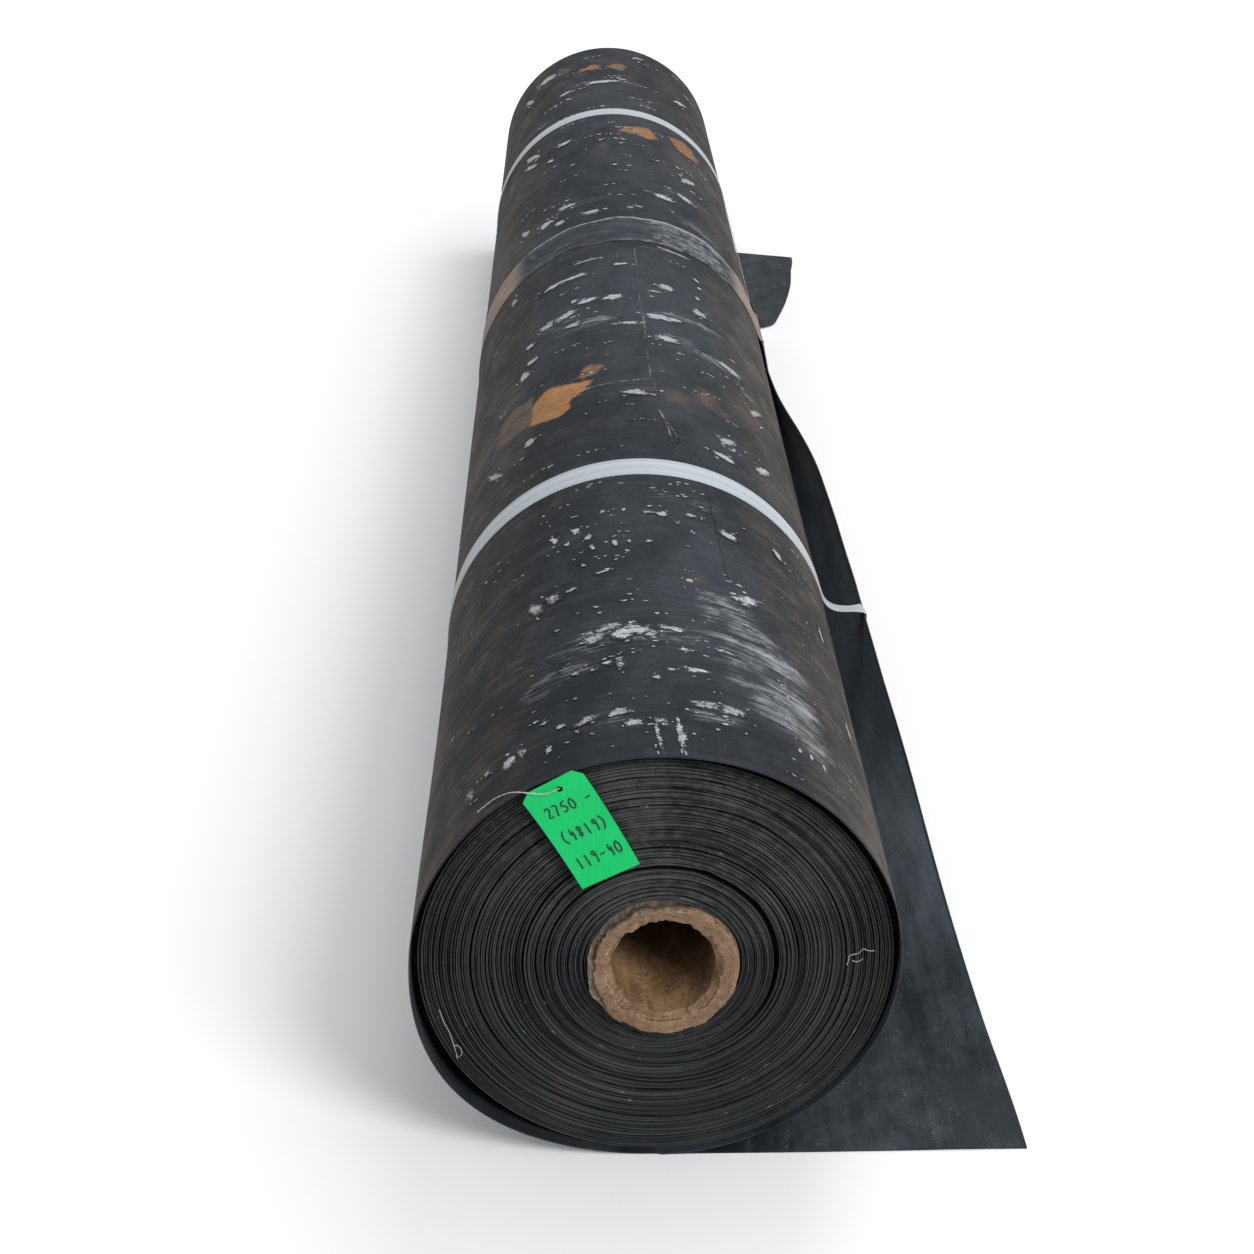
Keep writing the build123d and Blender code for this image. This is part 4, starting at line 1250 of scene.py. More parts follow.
def make_band():
    """The worn film round the middle, slanted and wider to the right."""
    thick = 1.2
    line = wrapped_line(BAND, 0.6 + thick / 2, 0.1 + thick / 2, 20.0, 14.0, 2.0)
    line, travelled = even_line(line)
    angle = angle_round(line)[:, None]
    # Each edge's places at the left and the right, then the seeds, reaches and heights of its rags
    edges = []
    for places, (seed, reach, height), (next_seed, small_reach, small_height) in (
        ((-92, -50), (51, 90, 3.2), (52, 26, 1.2)), ((28, 98), (53, 110, 3.5), (54, 22, 1.4)),
    ):
        edge = BAND + np.interp(line[:, 0], [-260, 330], places)
        edge += height * ripples(travelled, seed, reach)
        edges.append(edge + small_height * ripples(travelled, next_seed, small_reach))
    shares = np.array([-1.0, -0.98, -0.9, -0.7, -0.4, -0.1, 0.2, 0.5, 0.75, 0.9, 0.98, 1.0])
    section = [(share, float(abs(share) < 1)) for share in shares]
    share = np.concatenate([shares, shares[::-1]])
    worn = settle(angle, -58, -26) * (1 - settle(angle, 34, 66))
    pale = settle(share, 0.72, 0.9) * worn
    pale += 0.55 * settle(angle, 6, 20) * (1 - settle(angle, 46, 56)) * worn
    brown = (1 - settle(share, -0.97, -0.86)) * worn
    fields = {"worn": worn, "pale": pale, "brown": brown}
    shape = ribbon("band_film", line, travelled, *edges, section, thick, fields=fields)
    return dress(shape, band_finish(), "worn_tape", "middle_band")


def tag_frame():
    """Give the matrix that places the tag's flat drawing on the front end of the roll."""
    radius = sizes().roll_radius
    turn, reach = math.radians(114.3), radius - 14.2
    hole = Vector((reach * math.cos(turn), FRONT + 0.7, radius + reach * math.sin(turn)))
    lean = Matrix.Rotation(math.radians(6.0), 4, "Z")
    swing = Matrix.Rotation(math.radians(63.0), 4, "Y")
    way = (swing @ lean) @ Vector((1, 0, 0))
    normal = (swing @ lean) @ Vector((0, -1, 0))
    place = Matrix((way, normal.cross(way), normal)).transposed().to_4x4()
    place.translation = hole
    return place


def flat_curve(name, outlines, depth):
    """Fill flat outlines in millimetres and give them a thickness."""
    curve = bpy.data.curves.new(name, "CURVE")
    curve.dimensions = "2D"
    curve.fill_mode = "BOTH"
    curve.extrude = depth / 2
    for outline in outlines:
        spline = curve.splines.new("POLY")
        spline.points.add(len(outline) - 1)
        spline.points.foreach_set("co", [v for x, y in outline for v in (x, y, 0, 1)])
        spline.use_cyclic_u = True
    return plain_mesh(placed(name, curve))


def drawn_curve(name, strokes, steps):
    """Give a curve object with a smooth line for each stroke."""
    curve = bpy.data.curves.new(name, "CURVE")
    curve.dimensions = "3D"
    for stroke in strokes:
        spline = curve.splines.new("NURBS")
        spline.points.add(len(stroke) - 1)
        spline.points.foreach_set("co", [v for x, y, z in stroke for v in (x, y, z, 1)])
        spline.order_u = 3
        spline.use_endpoint_u = True
        spline.resolution_u = steps
    return placed(name, curve)


def disc(radius):
    turns = np.linspace(0, 2 * math.pi, 32, endpoint=False)
    return [(radius * math.cos(turn), radius * math.sin(turn)) for turn in turns]


def curl_and_place(made, place):
    """Bend a flat drawing of the tag forward as the card curls, and put it where it belongs."""
    work = bmesh.new()
    work.from_mesh(made.data)
    bmesh.ops.remove_doubles(work, verts=work.verts, dist=1e-3)
    for cut in range(6, 103, 8):
        bmesh.ops.bisect_plane(
            work, geom=work.verts[:] + work.edges[:] + work.faces[:], plane_co=(cut, 0, 0),
            plane_no=(1, 0, 0),
        )
    for vertex in work.verts:
        vertex.co.z += 0.0013 * max(0.0, vertex.co.x - 4) ** 2
    bmesh.ops.triangulate(work, faces=work.faces)
    bmesh.ops.transform(work, matrix=Matrix.Scale(MM, 4) @ place, verts=work.verts)
    bmesh.ops.recalc_face_normals(work, faces=work.faces)
    work.to_mesh(made.data)
    work.free()
    return made


def make_tag():
    """The green card tag and the pen marks on it."""
    own = sizes()
    length, side = own.tag_length, own.tag_width / 2
    place = tag_frame()
    outline = [
        (-10.9, 2.3 - side), (-2.5, -7.7 - side), (length - 9.2, -2.8 - side),
        (length - 9.2, side - 0.7), (-4.7, side - 2.0), (-13.2, side - 9.9),
    ]
    card = curl_and_place(flat_curve("tag_card", [outline, disc(3.2)], 0.6), place)
    dress(card, tag_finish(), "tag_card", "tag")

    strokes = []
    step = PEN_HEIGHT * 0.62
    for words, down in TAG_ROWS:
        start = -step * len(words) / 2
        for number, letter in enumerate(words):
            left = start + step * number
            for stroke in PEN_SHAPES.get(letter, []):
                strokes.append(
                    [
                        (
                            down + PEN_HEIGHT * (0.5 - up / 2),
                            left + across * PEN_HEIGHT * 0.46 - 0.5,
                            0.1,
                        )
                        for across, up in stroke
                    ]
                )
    ink = drawn_curve("tag_pen", strokes, 4)
    ink.data.bevel_depth = 0.95
    ink.data.bevel_resolution = 1
    ink.data.use_fill_caps = True
    ink = curl_and_place(plain_mesh(ink), place)
    dress(ink, simple_finish("Pen Ink", (0.01, 0.012, 0.012), 0.5), "tag_card", "tag")


def smooth_path(points, steps):
    """Read points along a smooth line in millimetres."""
    plain = plain_mesh(drawn_curve("path", [points], steps))
    path = np.array([vertex.co for vertex in plain.data.vertices], dtype=float)
    old = plain.data
    bpy.data.objects.remove(plain)
    bpy.data.meshes.remove(old)
    return path


def tube(path, radius, sides=8):
    """Give the points, sides and ends of a closed tube along a path."""
    way = np.gradient(path, axis=0)
    way /= np.linalg.norm(way, axis=1, keepdims=True)
    side = np.cross(way[0], [0.31, 0.72, 0.62])
    turns = np.linspace(0, 2 * math.pi, sides, endpoint=False)
    rows = []
    for spot, ahead in zip(path, way):
        side = side - ahead * (side @ ahead)
        side /= np.linalg.norm(side)
        other = np.cross(ahead, side)
        ring = np.outer(np.cos(turns), side) + np.outer(np.sin(turns), other)
        rows.append(spot + radius * ring)
    points = np.concatenate(rows + [path[:1], path[-1:]])
    here = np.arange(sides)
    after = (here + 1) % sides
    last, count = (len(path) - 1) * sides, len(path) * sides
    caps = np.concatenate(
        [
            np.stack([after, here, 0 * here + count], axis=1),
            np.stack([last + here, last + after, 0 * here + count + 1], axis=1),
        ]
    )
    return points, grid_faces(len(path), sides, False, True), caps


def make_wire():
    """The thin tie wire through the tag's hole, with its second strand twisted round it."""
    radius = sizes().roll_radius
    lap, strand_radius, half_twist = radius + 1.3, 0.36, 7.0
    hole = tag_frame().translation
    route = [
        (0.0, FRONT + 3.0, hole.z), (1.0, FRONT - 2.2, hole.z + 3.0),
        (-4.0, FRONT - 3.4, hole.z + 1.0), (-14.0, FRONT - 3.0, hole.z - 3.6),
        (-27.0, FRONT - 2.8, hole.z - 2.0),
    ]
    for away, behind, rise in (
        (-41.0, 0.5, 2.8), (-50.0, 12.0, 0), (-64.0, 19.0, 0), (-77.0, 17.0, 0),
    ):
        on_lap = radius + math.sqrt(lap**2 - (hole.x + away) ** 2)
        route.append((away, FRONT + behind, on_lap + rise))
    path = smooth_path([(hole.x + away, along, up) for away, along, up in route], 12)
    way = np.gradient(path, axis=0)
    way /= np.linalg.norm(way, axis=1, keepdims=True)
    side = np.cross(way, [0, 0, 1.0])
    side /= np.linalg.norm(side, axis=1, keepdims=True)
    over = np.cross(side, way)
    travelled = np.concatenate([[0], np.cumsum(np.linalg.norm(np.diff(path, axis=0), axis=1))])
    strands = []
    for phase in (0.0, math.pi):
        turn = (travelled / half_twist * math.pi + phase)[:, None]
        strand = path + strand_radius * (np.cos(turn) * side + np.sin(turn) * over)
        strands.append(tube(strand, strand_radius))
    points, quads, caps = joined(strands)
    wire = build("tie_wire", points, [quads, caps])
    finish = simple_finish("Tie Wire", tuple(colours().wire), 0.45, 0.6)
    return dress(wire, finish, "tie_wire", "tag_wire")


def make_threads():
    """Loose threads caught between the turns on the front end."""
    tubes = []
    for number, line in enumerate(THREADS):
        route = [
            (out, FRONT + 8.5 - 1.2 * math.sin(2.1 * k + number), up)
            for k, (out, up) in enumerate(line)
        ]
        tubes.append(tube(smooth_path(route, 8), 0.34, 6))
    points, quads, caps = joined(tubes)
    threads = build("loose_threads", points, [quads, caps])
    return dress(threads, simple_finish("White Thread", (0.5, 0.5, 0.48), 0.8), "rubber_sheet")


def paint_piece(name, parts):
    """Make one piece of painted parts that lie on the roll's unrolled map."""
    points, quads, fans, covers, shades, places = joined(parts)
    uvs = np.concatenate([(places[faces] * MM).reshape(-1, 2) for faces in (quads, fans)])
    dust = dust_at(places[:, 0] / arc_per_degree(), places[:, 1])
    fields = {"cover": covers, "shade": shades, "dust": dust}
    return dress(build(name, points, [quads, fans], uvs, fields), paint_finish(), "rubber_sheet")


def blob(rng, centre, wide, long, turn, cover, shade, sides=None):
    """Give one irregular drop of paint on the roll, and its cover, shade and places."""
    count = sides or int(np.clip(12 + (wide + long) * 0.9, 12, 44))
    turns = np.linspace(0, 2 * math.pi, count, endpoint=False)
    reach = np.ones(count)
    for order in range(2, 9):
        reach += 0.2 * rng.normal() / order**0.75 * np.sin(order * turns + rng.uniform(0, 6.3))
    reach = np.clip(reach, 0.5, 1.5)
    across, along = wide * reach * np.cos(turns), long * reach * np.sin(turns)
    cos, sin = math.cos(math.radians(turn)), math.sin(math.radians(turn))
    edge = np.stack([across * cos - along * sin, across * sin + along * cos], axis=1)
    lift = min(0.5, 0.16 + 0.02 * min(wide, long))
    # Rings from the middle outwards: share of the edge, lift and share of the cover
    rings = ((0.6, 0.85 * lift, 0.85), (1.12, 0.45 * lift, 0.3), (1.3, -0.25, 0.0))
    middle = np.array([centre])
    places = np.concatenate([middle] + [middle + share * edge for share, _, _ in rings] + [middle])
    lifts = np.concatenate([[lift], *(np.full(count, up) for _, up, _ in rings), [-0.3]])
    around = [np.full(count, part * cover) for _, _, part in rings]
    covers = np.concatenate([[cover], *around, [0]])
    here = np.arange(count)
    after = (here + 1) % count
    quads = [
        np.stack([low + here, low + count + here, low + count + after, low + after], axis=1)
        for low in (1, 1 + count)
    ]
    last = 1 + 2 * count
    fans = [
        np.stack([0 * here, 1 + here, 1 + after], axis=1),
        np.stack([last + after, last + here, 0 * here + last + count], axis=1),
    ]
    points = on_skin(places[:, 0], places[:, 1], lifts)
    shades = np.full(len(points), shade)
    return points, np.concatenate(quads), np.concatenate(fans), covers, shades, places


def make_marks():
    """White paint: the larger marks with drops round them, and small flecks all over the roll."""
    rng = np.random.default_rng(7)
    degree = arc_per_degree()
    drops = []
    for angle, place, wide, long, turn in MARKS:
        centre = (angle * degree, float(place))
        far = 0.5 - 0.5 * place / FRONT
        cover = rng.uniform(0.65, 1.05) + 0.5 * far
        shade = rng.uniform(0, 0.4) * (1 - 0.6 * far)
        drops.append(blob(rng, centre, wide, long, turn, cover, shade))
        large = math.hypot(wide, long) > 14
        for _ in range(int(rng.integers(0, 3) + (2 if large else 0))):
            spin = rng.uniform(0, 2 * math.pi)
            away = rng.uniform(1.15, 2.0)
            near = (
                centre[0] + math.cos(spin) * away * wide, centre[1] + math.sin(spin) * away * long
            )
            small = rng.uniform(0.12, 0.3)
            cover = rng.uniform(0.6, 1.0) + 0.5 * far
            reach = max(1.0, small * wide), max(1.2, small * long)
            drops.append(blob(rng, near, *reach, turn, cover, rng.uniform(0, 0.4), 9))
    for _ in range(330):
        forward = rng.random() < 0.55
        place = rng.uniform(-1555, -935) if forward else rng.uniform(-860, 1540)
        if -20 < place < 215 or abs(place - REAR_STRAP) < 32:
            continue
        angle = float(np.clip(rng.normal(2, 34), -84, 84))
        far = 0.5 - 0.5 * place / FRONT
        in_row = int(rng.integers(1, 3) if forward else rng.integers(1, 6))
        for number in range(in_row):
            size = rng.uniform(0.55, 1.25) * (1 + 1.1 * far)
            wider = rng.uniform(0.9, 3.2)
            over = number * rng.uniform(6, 15)
            centre = (angle * degree + over, place + rng.uniform(-2, 2) * (1 + far))
            turn = rng.uniform(-20, 20)
            cover = rng.uniform(0.8, 1.4) + 0.3 * far
            reach = size * wider, size * (1 + 0.7 * far)
            drops.append(blob(rng, centre, *reach, turn, cover, rng.uniform(0, 0.6), 8))
    return paint_piece("paint_marks", drops)


def make_lines():
    """Thin creases and scratches over the roll and the flap, as low ridges."""
    degree, top = arc_per_degree(), 0.9 + sizes().sheet_thickness / 2
    ridge, foot = 0.32, -0.25

    def on_flap(out, along, lift):
        return np.stack([out, along, top + sheet_lift(out, along) + lift], axis=-1)

    lines = [
        (on_skin, width, shade, np.array(spots) * [degree, 1]) for width, shade, spots in LINES
    ]
    lines += [(on_flap, width, shade, np.array(spots)) for width, shade, spots in FLAP_LINES]
    ridges = []
    for put, width, shade, spots in lines:
        runs = np.linalg.norm(np.diff(spots, axis=0), axis=1)
        travelled = np.concatenate([[0], np.cumsum(runs)])
        steps = np.linspace(0, travelled[-1], max(6, int(travelled[-1] / 7)))
        line = np.stack([np.interp(steps, travelled, spots[:, k]) for k in (0, 1)], axis=1)
        line[:, 0] += 0.8 * ripples(steps, int(width * 31), 60)
        way = np.gradient(line, axis=0)
        way /= np.linalg.norm(way, axis=1, keepdims=True)
        side = np.stack([-way[:, 1], way[:, 0]], axis=1)
        half = width / 2 * (0.55 + 0.45 * np.clip(1 + ripples(steps, 71, 45), 0, 2) / 2)
        half = half * np.minimum(1, np.minimum(steps, steps[-1] - steps) / 14 + 0.15)
        places = np.stack([line + side * half[:, None], line, line - side * half[:, None]], axis=1)
        places = places.reshape(-1, 2)
        count = len(line)
        points = put(places[:, 0], places[:, 1], np.tile([foot, ridge, foot], count))
        ends = np.array([[0, 1, 2], [3 * count - 1, 3 * count - 2, 3 * count - 3]])
        strength = 0.3 + 1.4 * shade + 0.3 * np.clip(ripples(steps, 73, 80), -1, 1)
        covers = np.outer(strength, [0.5, 1, 0.5]).ravel()
        shades = np.full(3 * count, 1 - shade)
        ridges.append((points, grid_faces(count, 3, False, True), ends, covers, shades, places))
    return paint_piece("crease_lines", ridges)


# The wound turns on an end, made by geometry nodes


class Tree(Nodes):
    """A geometry node tree under construction."""

    def __init__(self, name, sockets):
        super().__init__(bpy.data.node_groups.new(name, "GeometryNodeTree"))
        self.ids = {}
        for label, kind, value in sockets:
            made = self.tree.interface.new_socket(label, in_out="INPUT", socket_type=kind)
            self.ids[label] = made.identifier
            if value is not None:
                made.default_value = value
        kind = "NodeSocketGeometry"
        self.tree.interface.new_socket("Geometry", in_out="OUTPUT", socket_type=kind)
        self.start = self.tree.nodes.new("NodeGroupInput")
        self.end = self.tree.nodes.new("NodeGroupOutput")

    def given(self, label):
        return self.start.outputs[label]

    def minus(self, value, other):
        return self.maths("SUBTRACT", value, other)

    def over(self, value, other):
        return self.maths("DIVIDE", value, other)

    def store(self, geometry, name, value):
        inputs = {"Geometry": geometry, "Name": name, "Value": value}
        kind = "GeometryNodeStoreNamedAttribute"
        return self.add(kind, inputs, data_type="FLOAT", domain="POINT").outputs[0]

    def stored(self, name):
        kind = "GeometryNodeInputNamedAttribute"
        return self.add(kind, {"Name": name}, data_type="FLOAT").outputs[0]

    def random(self, low, high, spread):
        seed = self.plus(self.given("Seed"), float(spread))
        inputs = {2: low, 3: high, "Seed": seed}
        return self.add("FunctionNodeRandomValue", inputs, data_type="FLOAT").outputs[1]

    def noise(self, vector, along, scale, detail, height):
        """Give a noise about zero along a ring, and from ring to ring."""
        inputs = {"Vector": vector, "W": along, "Scale": scale, "Detail": detail}
        made = self.add("ShaderNodeTexNoise", inputs, noise_dimensions="4D")
        return self.times(self.minus(made.outputs["Fac"], 0.5), height)


def turns_tree():
    """Wind rings of turns between two radii, each at its own depth."""
    number, whole = "NodeSocketFloat", "NodeSocketInt"
    tree = Tree(
        "Wound Turns",
        [
            ("Turns", whole, 78), ("Segments", whole, 112), ("Profile Points", whole, 9),
            ("Inner Radius", number, 0.0764), ("Outer Radius", number, 0.2299),
            ("Inner Middle X", number, 0.006), ("Inner Middle Z", number, 0.2345),
            ("Outer Middle X", number, -0.0015), ("Outer Middle Z", number, 0.2319),
            ("End Place", number, -1.575), ("Inward", number, 1.0), ("Depth", number, 0.0125),
            ("Depth Spread", number, 0.003), ("Turn Depth", number, 0.0055),
            ("Crack Radius", number, 0.113), ("Crack Width", number, 0.0052),
            ("Group Width", number, 0.0125), ("Tilt", number, 0.0014),
            ("Seed", whole, 5), ("Material", "NodeSocketMaterial", None),
        ],
    )
    given, stored, one = tree.given, tree.stored, tree.one
    plus, minus, times, over = tree.plus, tree.minus, tree.times, tree.over

    # One point for each ring, with its share of the way out and its own seeded looks
    points = tree.add("GeometryNodePoints", {"Count": given("Turns")}).outputs[0]
    points = tree.store(points, "weight", tree.random(0.55, 1.5, 0))
    gathered = tree.add(
        "GeometryNodeAccumulateField", {0: stored("weight")}, data_type="FLOAT", domain="POINT"
    )
    leading, total = gathered.outputs[0], gathered.outputs[2]
    points = tree.store(points, "reach", over(leading, total))
    points = tree.store(points, "width", over(stored("weight"), total))
    points = tree.store(points, "deep", tree.random(-1.0, 1.0, 1))
    points = tree.store(points, "tone", tree.random(0.0, 1.0, 2))
    points = tree.store(points, "fullness", tree.random(0.3, 0.5, 3))

    # A grid on each point, rolled up into a ring with a rounded profile
    sides = {0: 1.0, 1: 1.0, 2: given("Profile Points"), 3: given("Segments")}
    grid = tree.add("GeometryNodeMeshGrid", sides).outputs[0]
    inputs = {"Points": points, "Instance": grid}
    rings = tree.add("GeometryNodeInstanceOnPoints", inputs).outputs[0]
    rings = tree.add("GeometryNodeRealizeInstances", {"Geometry": rings}).outputs[0]
    place = tree.add("GeometryNodeInputPosition").outputs[0]
    place = tree.add("ShaderNodeSeparateXYZ", {0: place}).outputs
    angle = times(plus(place[1], 0.5), 2 * math.pi)
    rings = tree.store(rings, "profile", times(plus(place[0], 0.5), 2 * math.pi))
    rings = tree.store(rings, "angle", angle)
    rings = tree.store(rings, "lean", one("SINE", angle))
    rings = tree.store(rings, "rise", one("COSINE", angle))
    profile, angle = stored("profile"), stored("angle")

    def squared_off(value):
        return times(tree.maths("POWER", one("ABSOLUTE", value), 0.5), one("SIGN", value))

    across = squared_off(one("COSINE", profile))
    rings = tree.store(rings, "crest", squared_off(one("SINE", profile)))
    crest, reach = stored("crest"), stored("reach")
    sine, cosine = one("SINE", angle), one("COSINE", angle)
    around = tree.add("ShaderNodeCombineXYZ", {0: sine, 1: cosine, 2: 0.0}).outputs[0]

    # The radius, with a crack outside the inner turns where they were wound tighter
    band = minus(given("Outer Radius"), given("Inner Radius"))
    start = plus(given("Inner Radius"), times(band, reach))
    inner_part = tree.maths("LESS_THAN", start, given("Crack Radius"))
    near = over(start, given("Crack Radius"))
    squeeze = times(inner_part, given("Crack Width"), 0.5, near)
    ripple = times(tree.noise(around, start, 1.6, 2.0, 0.0016), reach, minus(1.0, reach), 4.0)
    wide = times(times(band, stored("width")), plus(times(across, stored("fullness")), 0.5))
    radius = minus(plus(start, wide, ripple), squeeze)
    share = over(minus(start, given("Inner Radius")), band)

    def middle(inner, outer):
        """Give the ring's middle between those of the first and the last ring."""
        return plus(given(inner), times(minus(given(outer), given(inner)), share))

    shift = times(squeeze, -0.7)
    out = plus(middle("Inner Middle X", "Outer Middle X"), shift, times(radius, sine))
    up = plus(middle("Inner Middle Z", "Outer Middle Z"), shift, times(radius, cosine))

    # How far in each ring lies: alone, by uneven winding and by groups of turns
    uneven = tree.noise(around, times(start, 90.0), 1.3, 3.0, 1.5)
    swell = tree.noise(around, times(start, 16.0), 0.7, 1.0, 2.0)
    drift = tree.noise(around, times(start, 30.0), 0.8, 1.0, 2.2)
    phase = plus(over(start, given("Group Width")), drift)
    group = one("ABSOLUTE", one("SINE", times(phase, math.pi)))
    group = times(minus(0.75, tree.maths("POWER", group, 0.45)), 1.5)
    deep = times(plus(times(stored("deep"), 0.38), uneven, swell, group), given("Depth Spread"))
    back = times(minus(1.0, crest), given("Turn Depth"))
    tilt = times(minus(cosine, 1.0), given("Tilt"))
    inset = plus(given("Depth"), deep, back, tilt)
    along = plus(given("End Place"), times(inset, given("Inward")))

    rings = tree.store(rings, "radius", radius)
    spot = tree.add("ShaderNodeCombineXYZ", {0: out, 1: along, 2: up}).outputs[0]
    inputs = {"Geometry": rings, "Position": spot}
    rings = tree.add("GeometryNodeSetPosition", inputs).outputs[0]
    inputs = {"Geometry": rings, "Distance": 0.000002}
    rings = tree.add("GeometryNodeMergeByDistance", inputs).outputs[0]
    rings = tree.add("GeometryNodeRealizeInstances", {"Geometry": rings}).outputs[0]
    inputs = {"Geometry": rings, "Material": given("Material")}
    rings = tree.add("GeometryNodeSetMaterial", inputs).outputs[0]
    tree.tree.links.new(rings, tree.end.inputs[0])
    return tree


def make_turns():
    """The wound turns that show on both ends of the roll."""
    own = bpy.context.scene.roll_sizes
    tree, finish = turns_tree(), turns_finish()
    for name, way, seed in (("front_turns", -1, 5), ("rear_turns", 1, 9)):
        made = placed(name, bpy.data.meshes.new(name))
        winding = made.modifiers.new("Turns", "NODES")
        winding.node_group = tree.tree
        values = {
            "Turns": own.turn_count, "Outer Radius": own.turns_radius,
            "Inner Radius": own.core_radius - 0.002,
            "Inner Middle Z": own.roll_radius - 0.0045,
            "Outer Middle Z": own.roll_radius - own.turns_drop,
            "End Place": way * own.roll_length / 2, "Inward": -float(way), "Seed": seed,
            "Material": finish,
        }
        for label, value in values.items():
            winding[tree.ids[label]] = value
        plain = plain_mesh(made)
        work = bmesh.new()
        work.from_mesh(plain.data)
        bmesh.ops.recalc_face_normals(work, faces=work.faces)
        work.to_mesh(plain.data)
        work.free()
        plain.data.shade_smooth()
        dress(plain, finish, "rubber_sheet", "membrane")


# The stage


def make_floor():
    """A pale floor that looks white and keeps the roll's shadow."""
    reach = 60.0
    mesh = bpy.data.meshes.new("floor")
    corners = [(-reach, -reach, 0), (reach, -reach, 0), (reach, reach, 0), (-reach, reach, 0)]
    mesh.from_pydata(corners, [], [(0, 1, 2, 3)])
    floor = placed("floor", mesh)
    finish = Finish("White Floor", 0.9, 0.1)
    between, times = finish.between, finish.times
    finish.shader.inputs["Base Color"].default_value = (0.8, 0.8, 0.805, 1)
    seen = finish.add("ShaderNodeLightPath").outputs["Is Camera Ray"]
    spot = finish.add("ShaderNodeTexCoord").outputs["Object"]
    sides = finish.add("ShaderNodeSeparateXYZ", {0: spot}).outputs
    across = between(finish.one("ABSOLUTE", sides[0]), 0.3, 4.3, 0.0, 4.0)
    along = between(finish.one("ABSOLUTE", sides[1]), 1.5, 5.5, 0.0, 4.0)
    away = finish.one("SQRT", finish.plus(times(across, across), times(along, along)))
    strength = finish.plus(
        between(away, 0.05, 0.75, 0.085, 0.3), between(away, 1.5, 4.5, 0.0, 0.3)
    )
    inputs = {"Color": (1, 1, 1, 1), "Strength": times(seen, strength)}
    glow = finish.add("ShaderNodeEmission", inputs).outputs[0]
    both = finish.add("ShaderNodeAddShader", {0: finish.shader.outputs[0], 1: glow}).outputs[0]
    finish.tree.links.new(both, finish.tree.nodes["Material Output"].inputs["Surface"])
    mesh.materials.append(finish.material)


def make_stage():
    """The floor, a white background, soft lights and the camera."""
    scene = bpy.context.scene
    scene.view_settings.view_transform = "Standard"
    make_floor()

    world = bpy.data.worlds.new("Studio")
    scene.world = world
    world.use_nodes = True
    sky = Nodes(world.node_tree)
    fill = sky.tree.nodes["Background"]
    fill.inputs["Color"].default_value = (0.95, 0.975, 1, 1)
    fill.inputs["Strength"].default_value = 0.6
    white = sky.add("ShaderNodeBackground", {"Color": (1, 1, 1, 1), "Strength": 1.0})
    seen = sky.add("ShaderNodeLightPath").outputs["Is Camera Ray"]
    choose = sky.add("ShaderNodeMixShader", {0: seen, 1: fill.outputs[0], 2: white.outputs[0]})
    sky.tree.links.new(choose.outputs[0], sky.tree.nodes["World Output"].inputs["Surface"])

    for name, place, aim, width, power in (
        ("Key", (2.4, -4.3, 3.7), (0.0, -0.6, 0.2), 2.2, 175.0),
        ("Top", (1.2, 1.9, 4.6), (0.0, 0.6, 0.3), 3.4, 120.0),
    ):
        light = bpy.data.lights.new(name, "AREA")
        light.shape = "DISK"
        light.size = width
        light.energy = power
        lamp = placed(name, light)
        lamp.location = place
        lamp.rotation_euler = (Vector(aim) - Vector(place)).to_track_quat("-Z", "Y").to_euler()

    camera = bpy.data.cameras.new("Camera")
    camera.lens = 57.13
    camera.sensor_width = 36.0
    camera.clip_end = 200
    eye = placed("Camera", camera)
    eye.location = (-0.0673, -3.1242, 1.4180)
    eye.rotation_euler = (math.pi / 2 - 0.4815, 0, -0.0241)
    scene.camera = eye


# The add-on


class ROLL_OT_stage(bpy.types.Operator):
    """Make the floor, the lights and the camera"""

    bl_idname = "membrane_roll.stage"
    bl_label = "Stage"
    bl_options = {"REGISTER", "UNDO"}

    def execute(self, context):
        make_stage()
        return {"FINISHED"}


class ROLL_OT_skin(bpy.types.Operator):
    """Make the outer lap of the roll"""

    bl_idname = "membrane_roll.skin"
    bl_label = "Outer Lap"
    bl_options = {"REGISTER", "UNDO"}

    def execute(self, context):
        make_roll_skin()
        return {"FINISHED"}


class ROLL_OT_loose_end(bpy.types.Operator):
    """Make the loose end of the sheet"""

    bl_idname = "membrane_roll.loose_end"
    bl_label = "Loose End"
    bl_options = {"REGISTER", "UNDO"}

    def execute(self, context):
        make_loose_end()
        return {"FINISHED"}


class ROLL_OT_turns(bpy.types.Operator):
    """Wind the turns on both ends"""

    bl_idname = "membrane_roll.turns"
    bl_label = "Turns"
    bl_options = {"REGISTER", "UNDO"}

    def execute(self, context):
        make_turns()
        return {"FINISHED"}


class ROLL_OT_core(bpy.types.Operator):
    """Make the cardboard core"""

    bl_idname = "membrane_roll.core"
    bl_label = "Core"
    bl_options = {"REGISTER", "UNDO"}

    def execute(self, context):
        make_core()
        return {"FINISHED"}


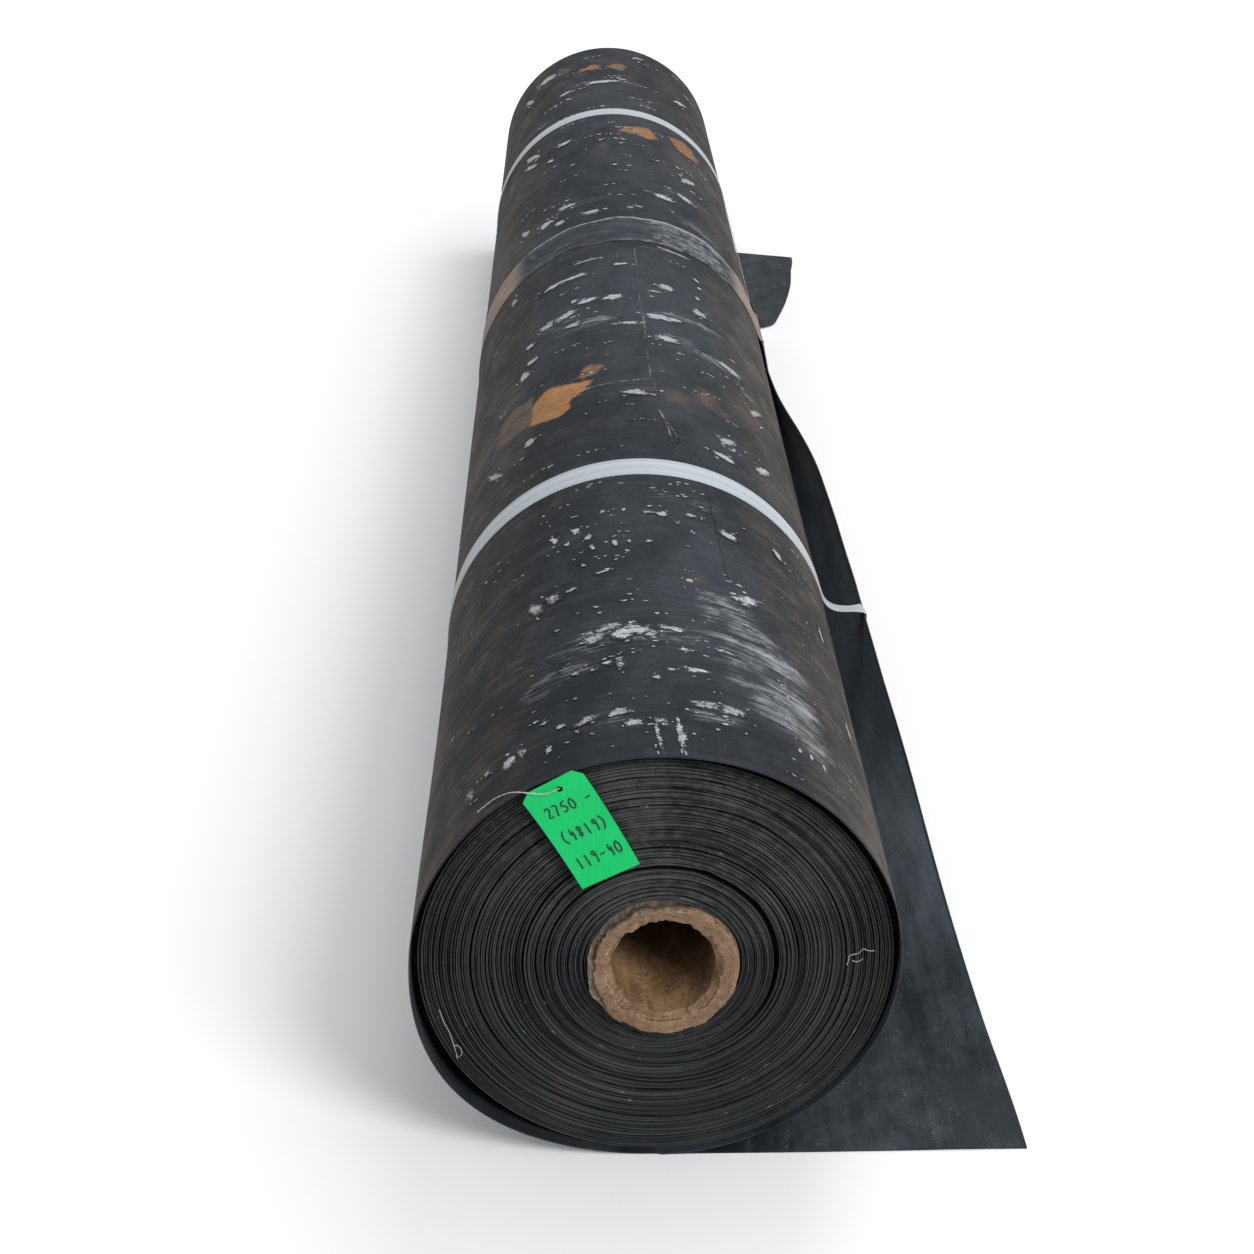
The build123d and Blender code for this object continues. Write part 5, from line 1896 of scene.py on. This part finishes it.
class ROLL_OT_straps(bpy.types.Operator):
    """Make the two straps and the worn band"""

    bl_idname = "membrane_roll.straps"
    bl_label = "Straps and Band"
    bl_options = {"REGISTER", "UNDO"}

    def execute(self, context):
        make_straps()
        make_band()
        return {"FINISHED"}


class ROLL_OT_tag(bpy.types.Operator):
    """Make the tag and its tie wire"""

    bl_idname = "membrane_roll.tag"
    bl_label = "Tag and Wire"
    bl_options = {"REGISTER", "UNDO"}

    def execute(self, context):
        make_tag()
        make_wire()
        return {"FINISHED"}


class ROLL_OT_marks(bpy.types.Operator):
    """Make the paint marks, creases and threads"""

    bl_idname = "membrane_roll.marks"
    bl_label = "Marks and Creases"
    bl_options = {"REGISTER", "UNDO"}

    def execute(self, context):
        make_marks()
        make_lines()
        make_threads()
        return {"FINISHED"}


OPERATORS = (
    ROLL_OT_stage, ROLL_OT_skin, ROLL_OT_loose_end, ROLL_OT_turns, ROLL_OT_core,
    ROLL_OT_straps, ROLL_OT_tag, ROLL_OT_marks,
)


class ROLL_PT_panel(bpy.types.Panel):
    """Sizes, colours and operators of the membrane roll"""

    bl_idname = "ROLL_PT_panel"
    bl_label = "Membrane Roll"
    bl_space_type = "VIEW_3D"
    bl_region_type = "UI"
    bl_category = "Membrane Roll"

    def draw(self, context):
        for group in (context.scene.roll_sizes, context.scene.roll_colours):
            box = self.layout.box()
            for key in group.__annotations__:
                box.prop(group, key)
        for operator in OPERATORS:
            self.layout.operator(operator.bl_idname)


CLASSES = (RollSizes, RollColours, *OPERATORS, ROLL_PT_panel)


def register():
    for item in CLASSES:
        bpy.utils.register_class(item)
    bpy.types.Scene.roll_sizes = PointerProperty(type=RollSizes)
    bpy.types.Scene.roll_colours = PointerProperty(type=RollColours)


def unregister():
    del bpy.types.Scene.roll_colours
    del bpy.types.Scene.roll_sizes
    for item in reversed(CLASSES):
        bpy.utils.unregister_class(item)


def main():
    register()
    bpy.ops.membrane_roll.stage()
    bpy.ops.membrane_roll.skin()
    bpy.ops.membrane_roll.loose_end()
    bpy.ops.membrane_roll.turns()
    bpy.ops.membrane_roll.core()
    bpy.ops.membrane_roll.straps()
    bpy.ops.membrane_roll.tag()
    bpy.ops.membrane_roll.marks()


if __name__ == "__main__":
    main()
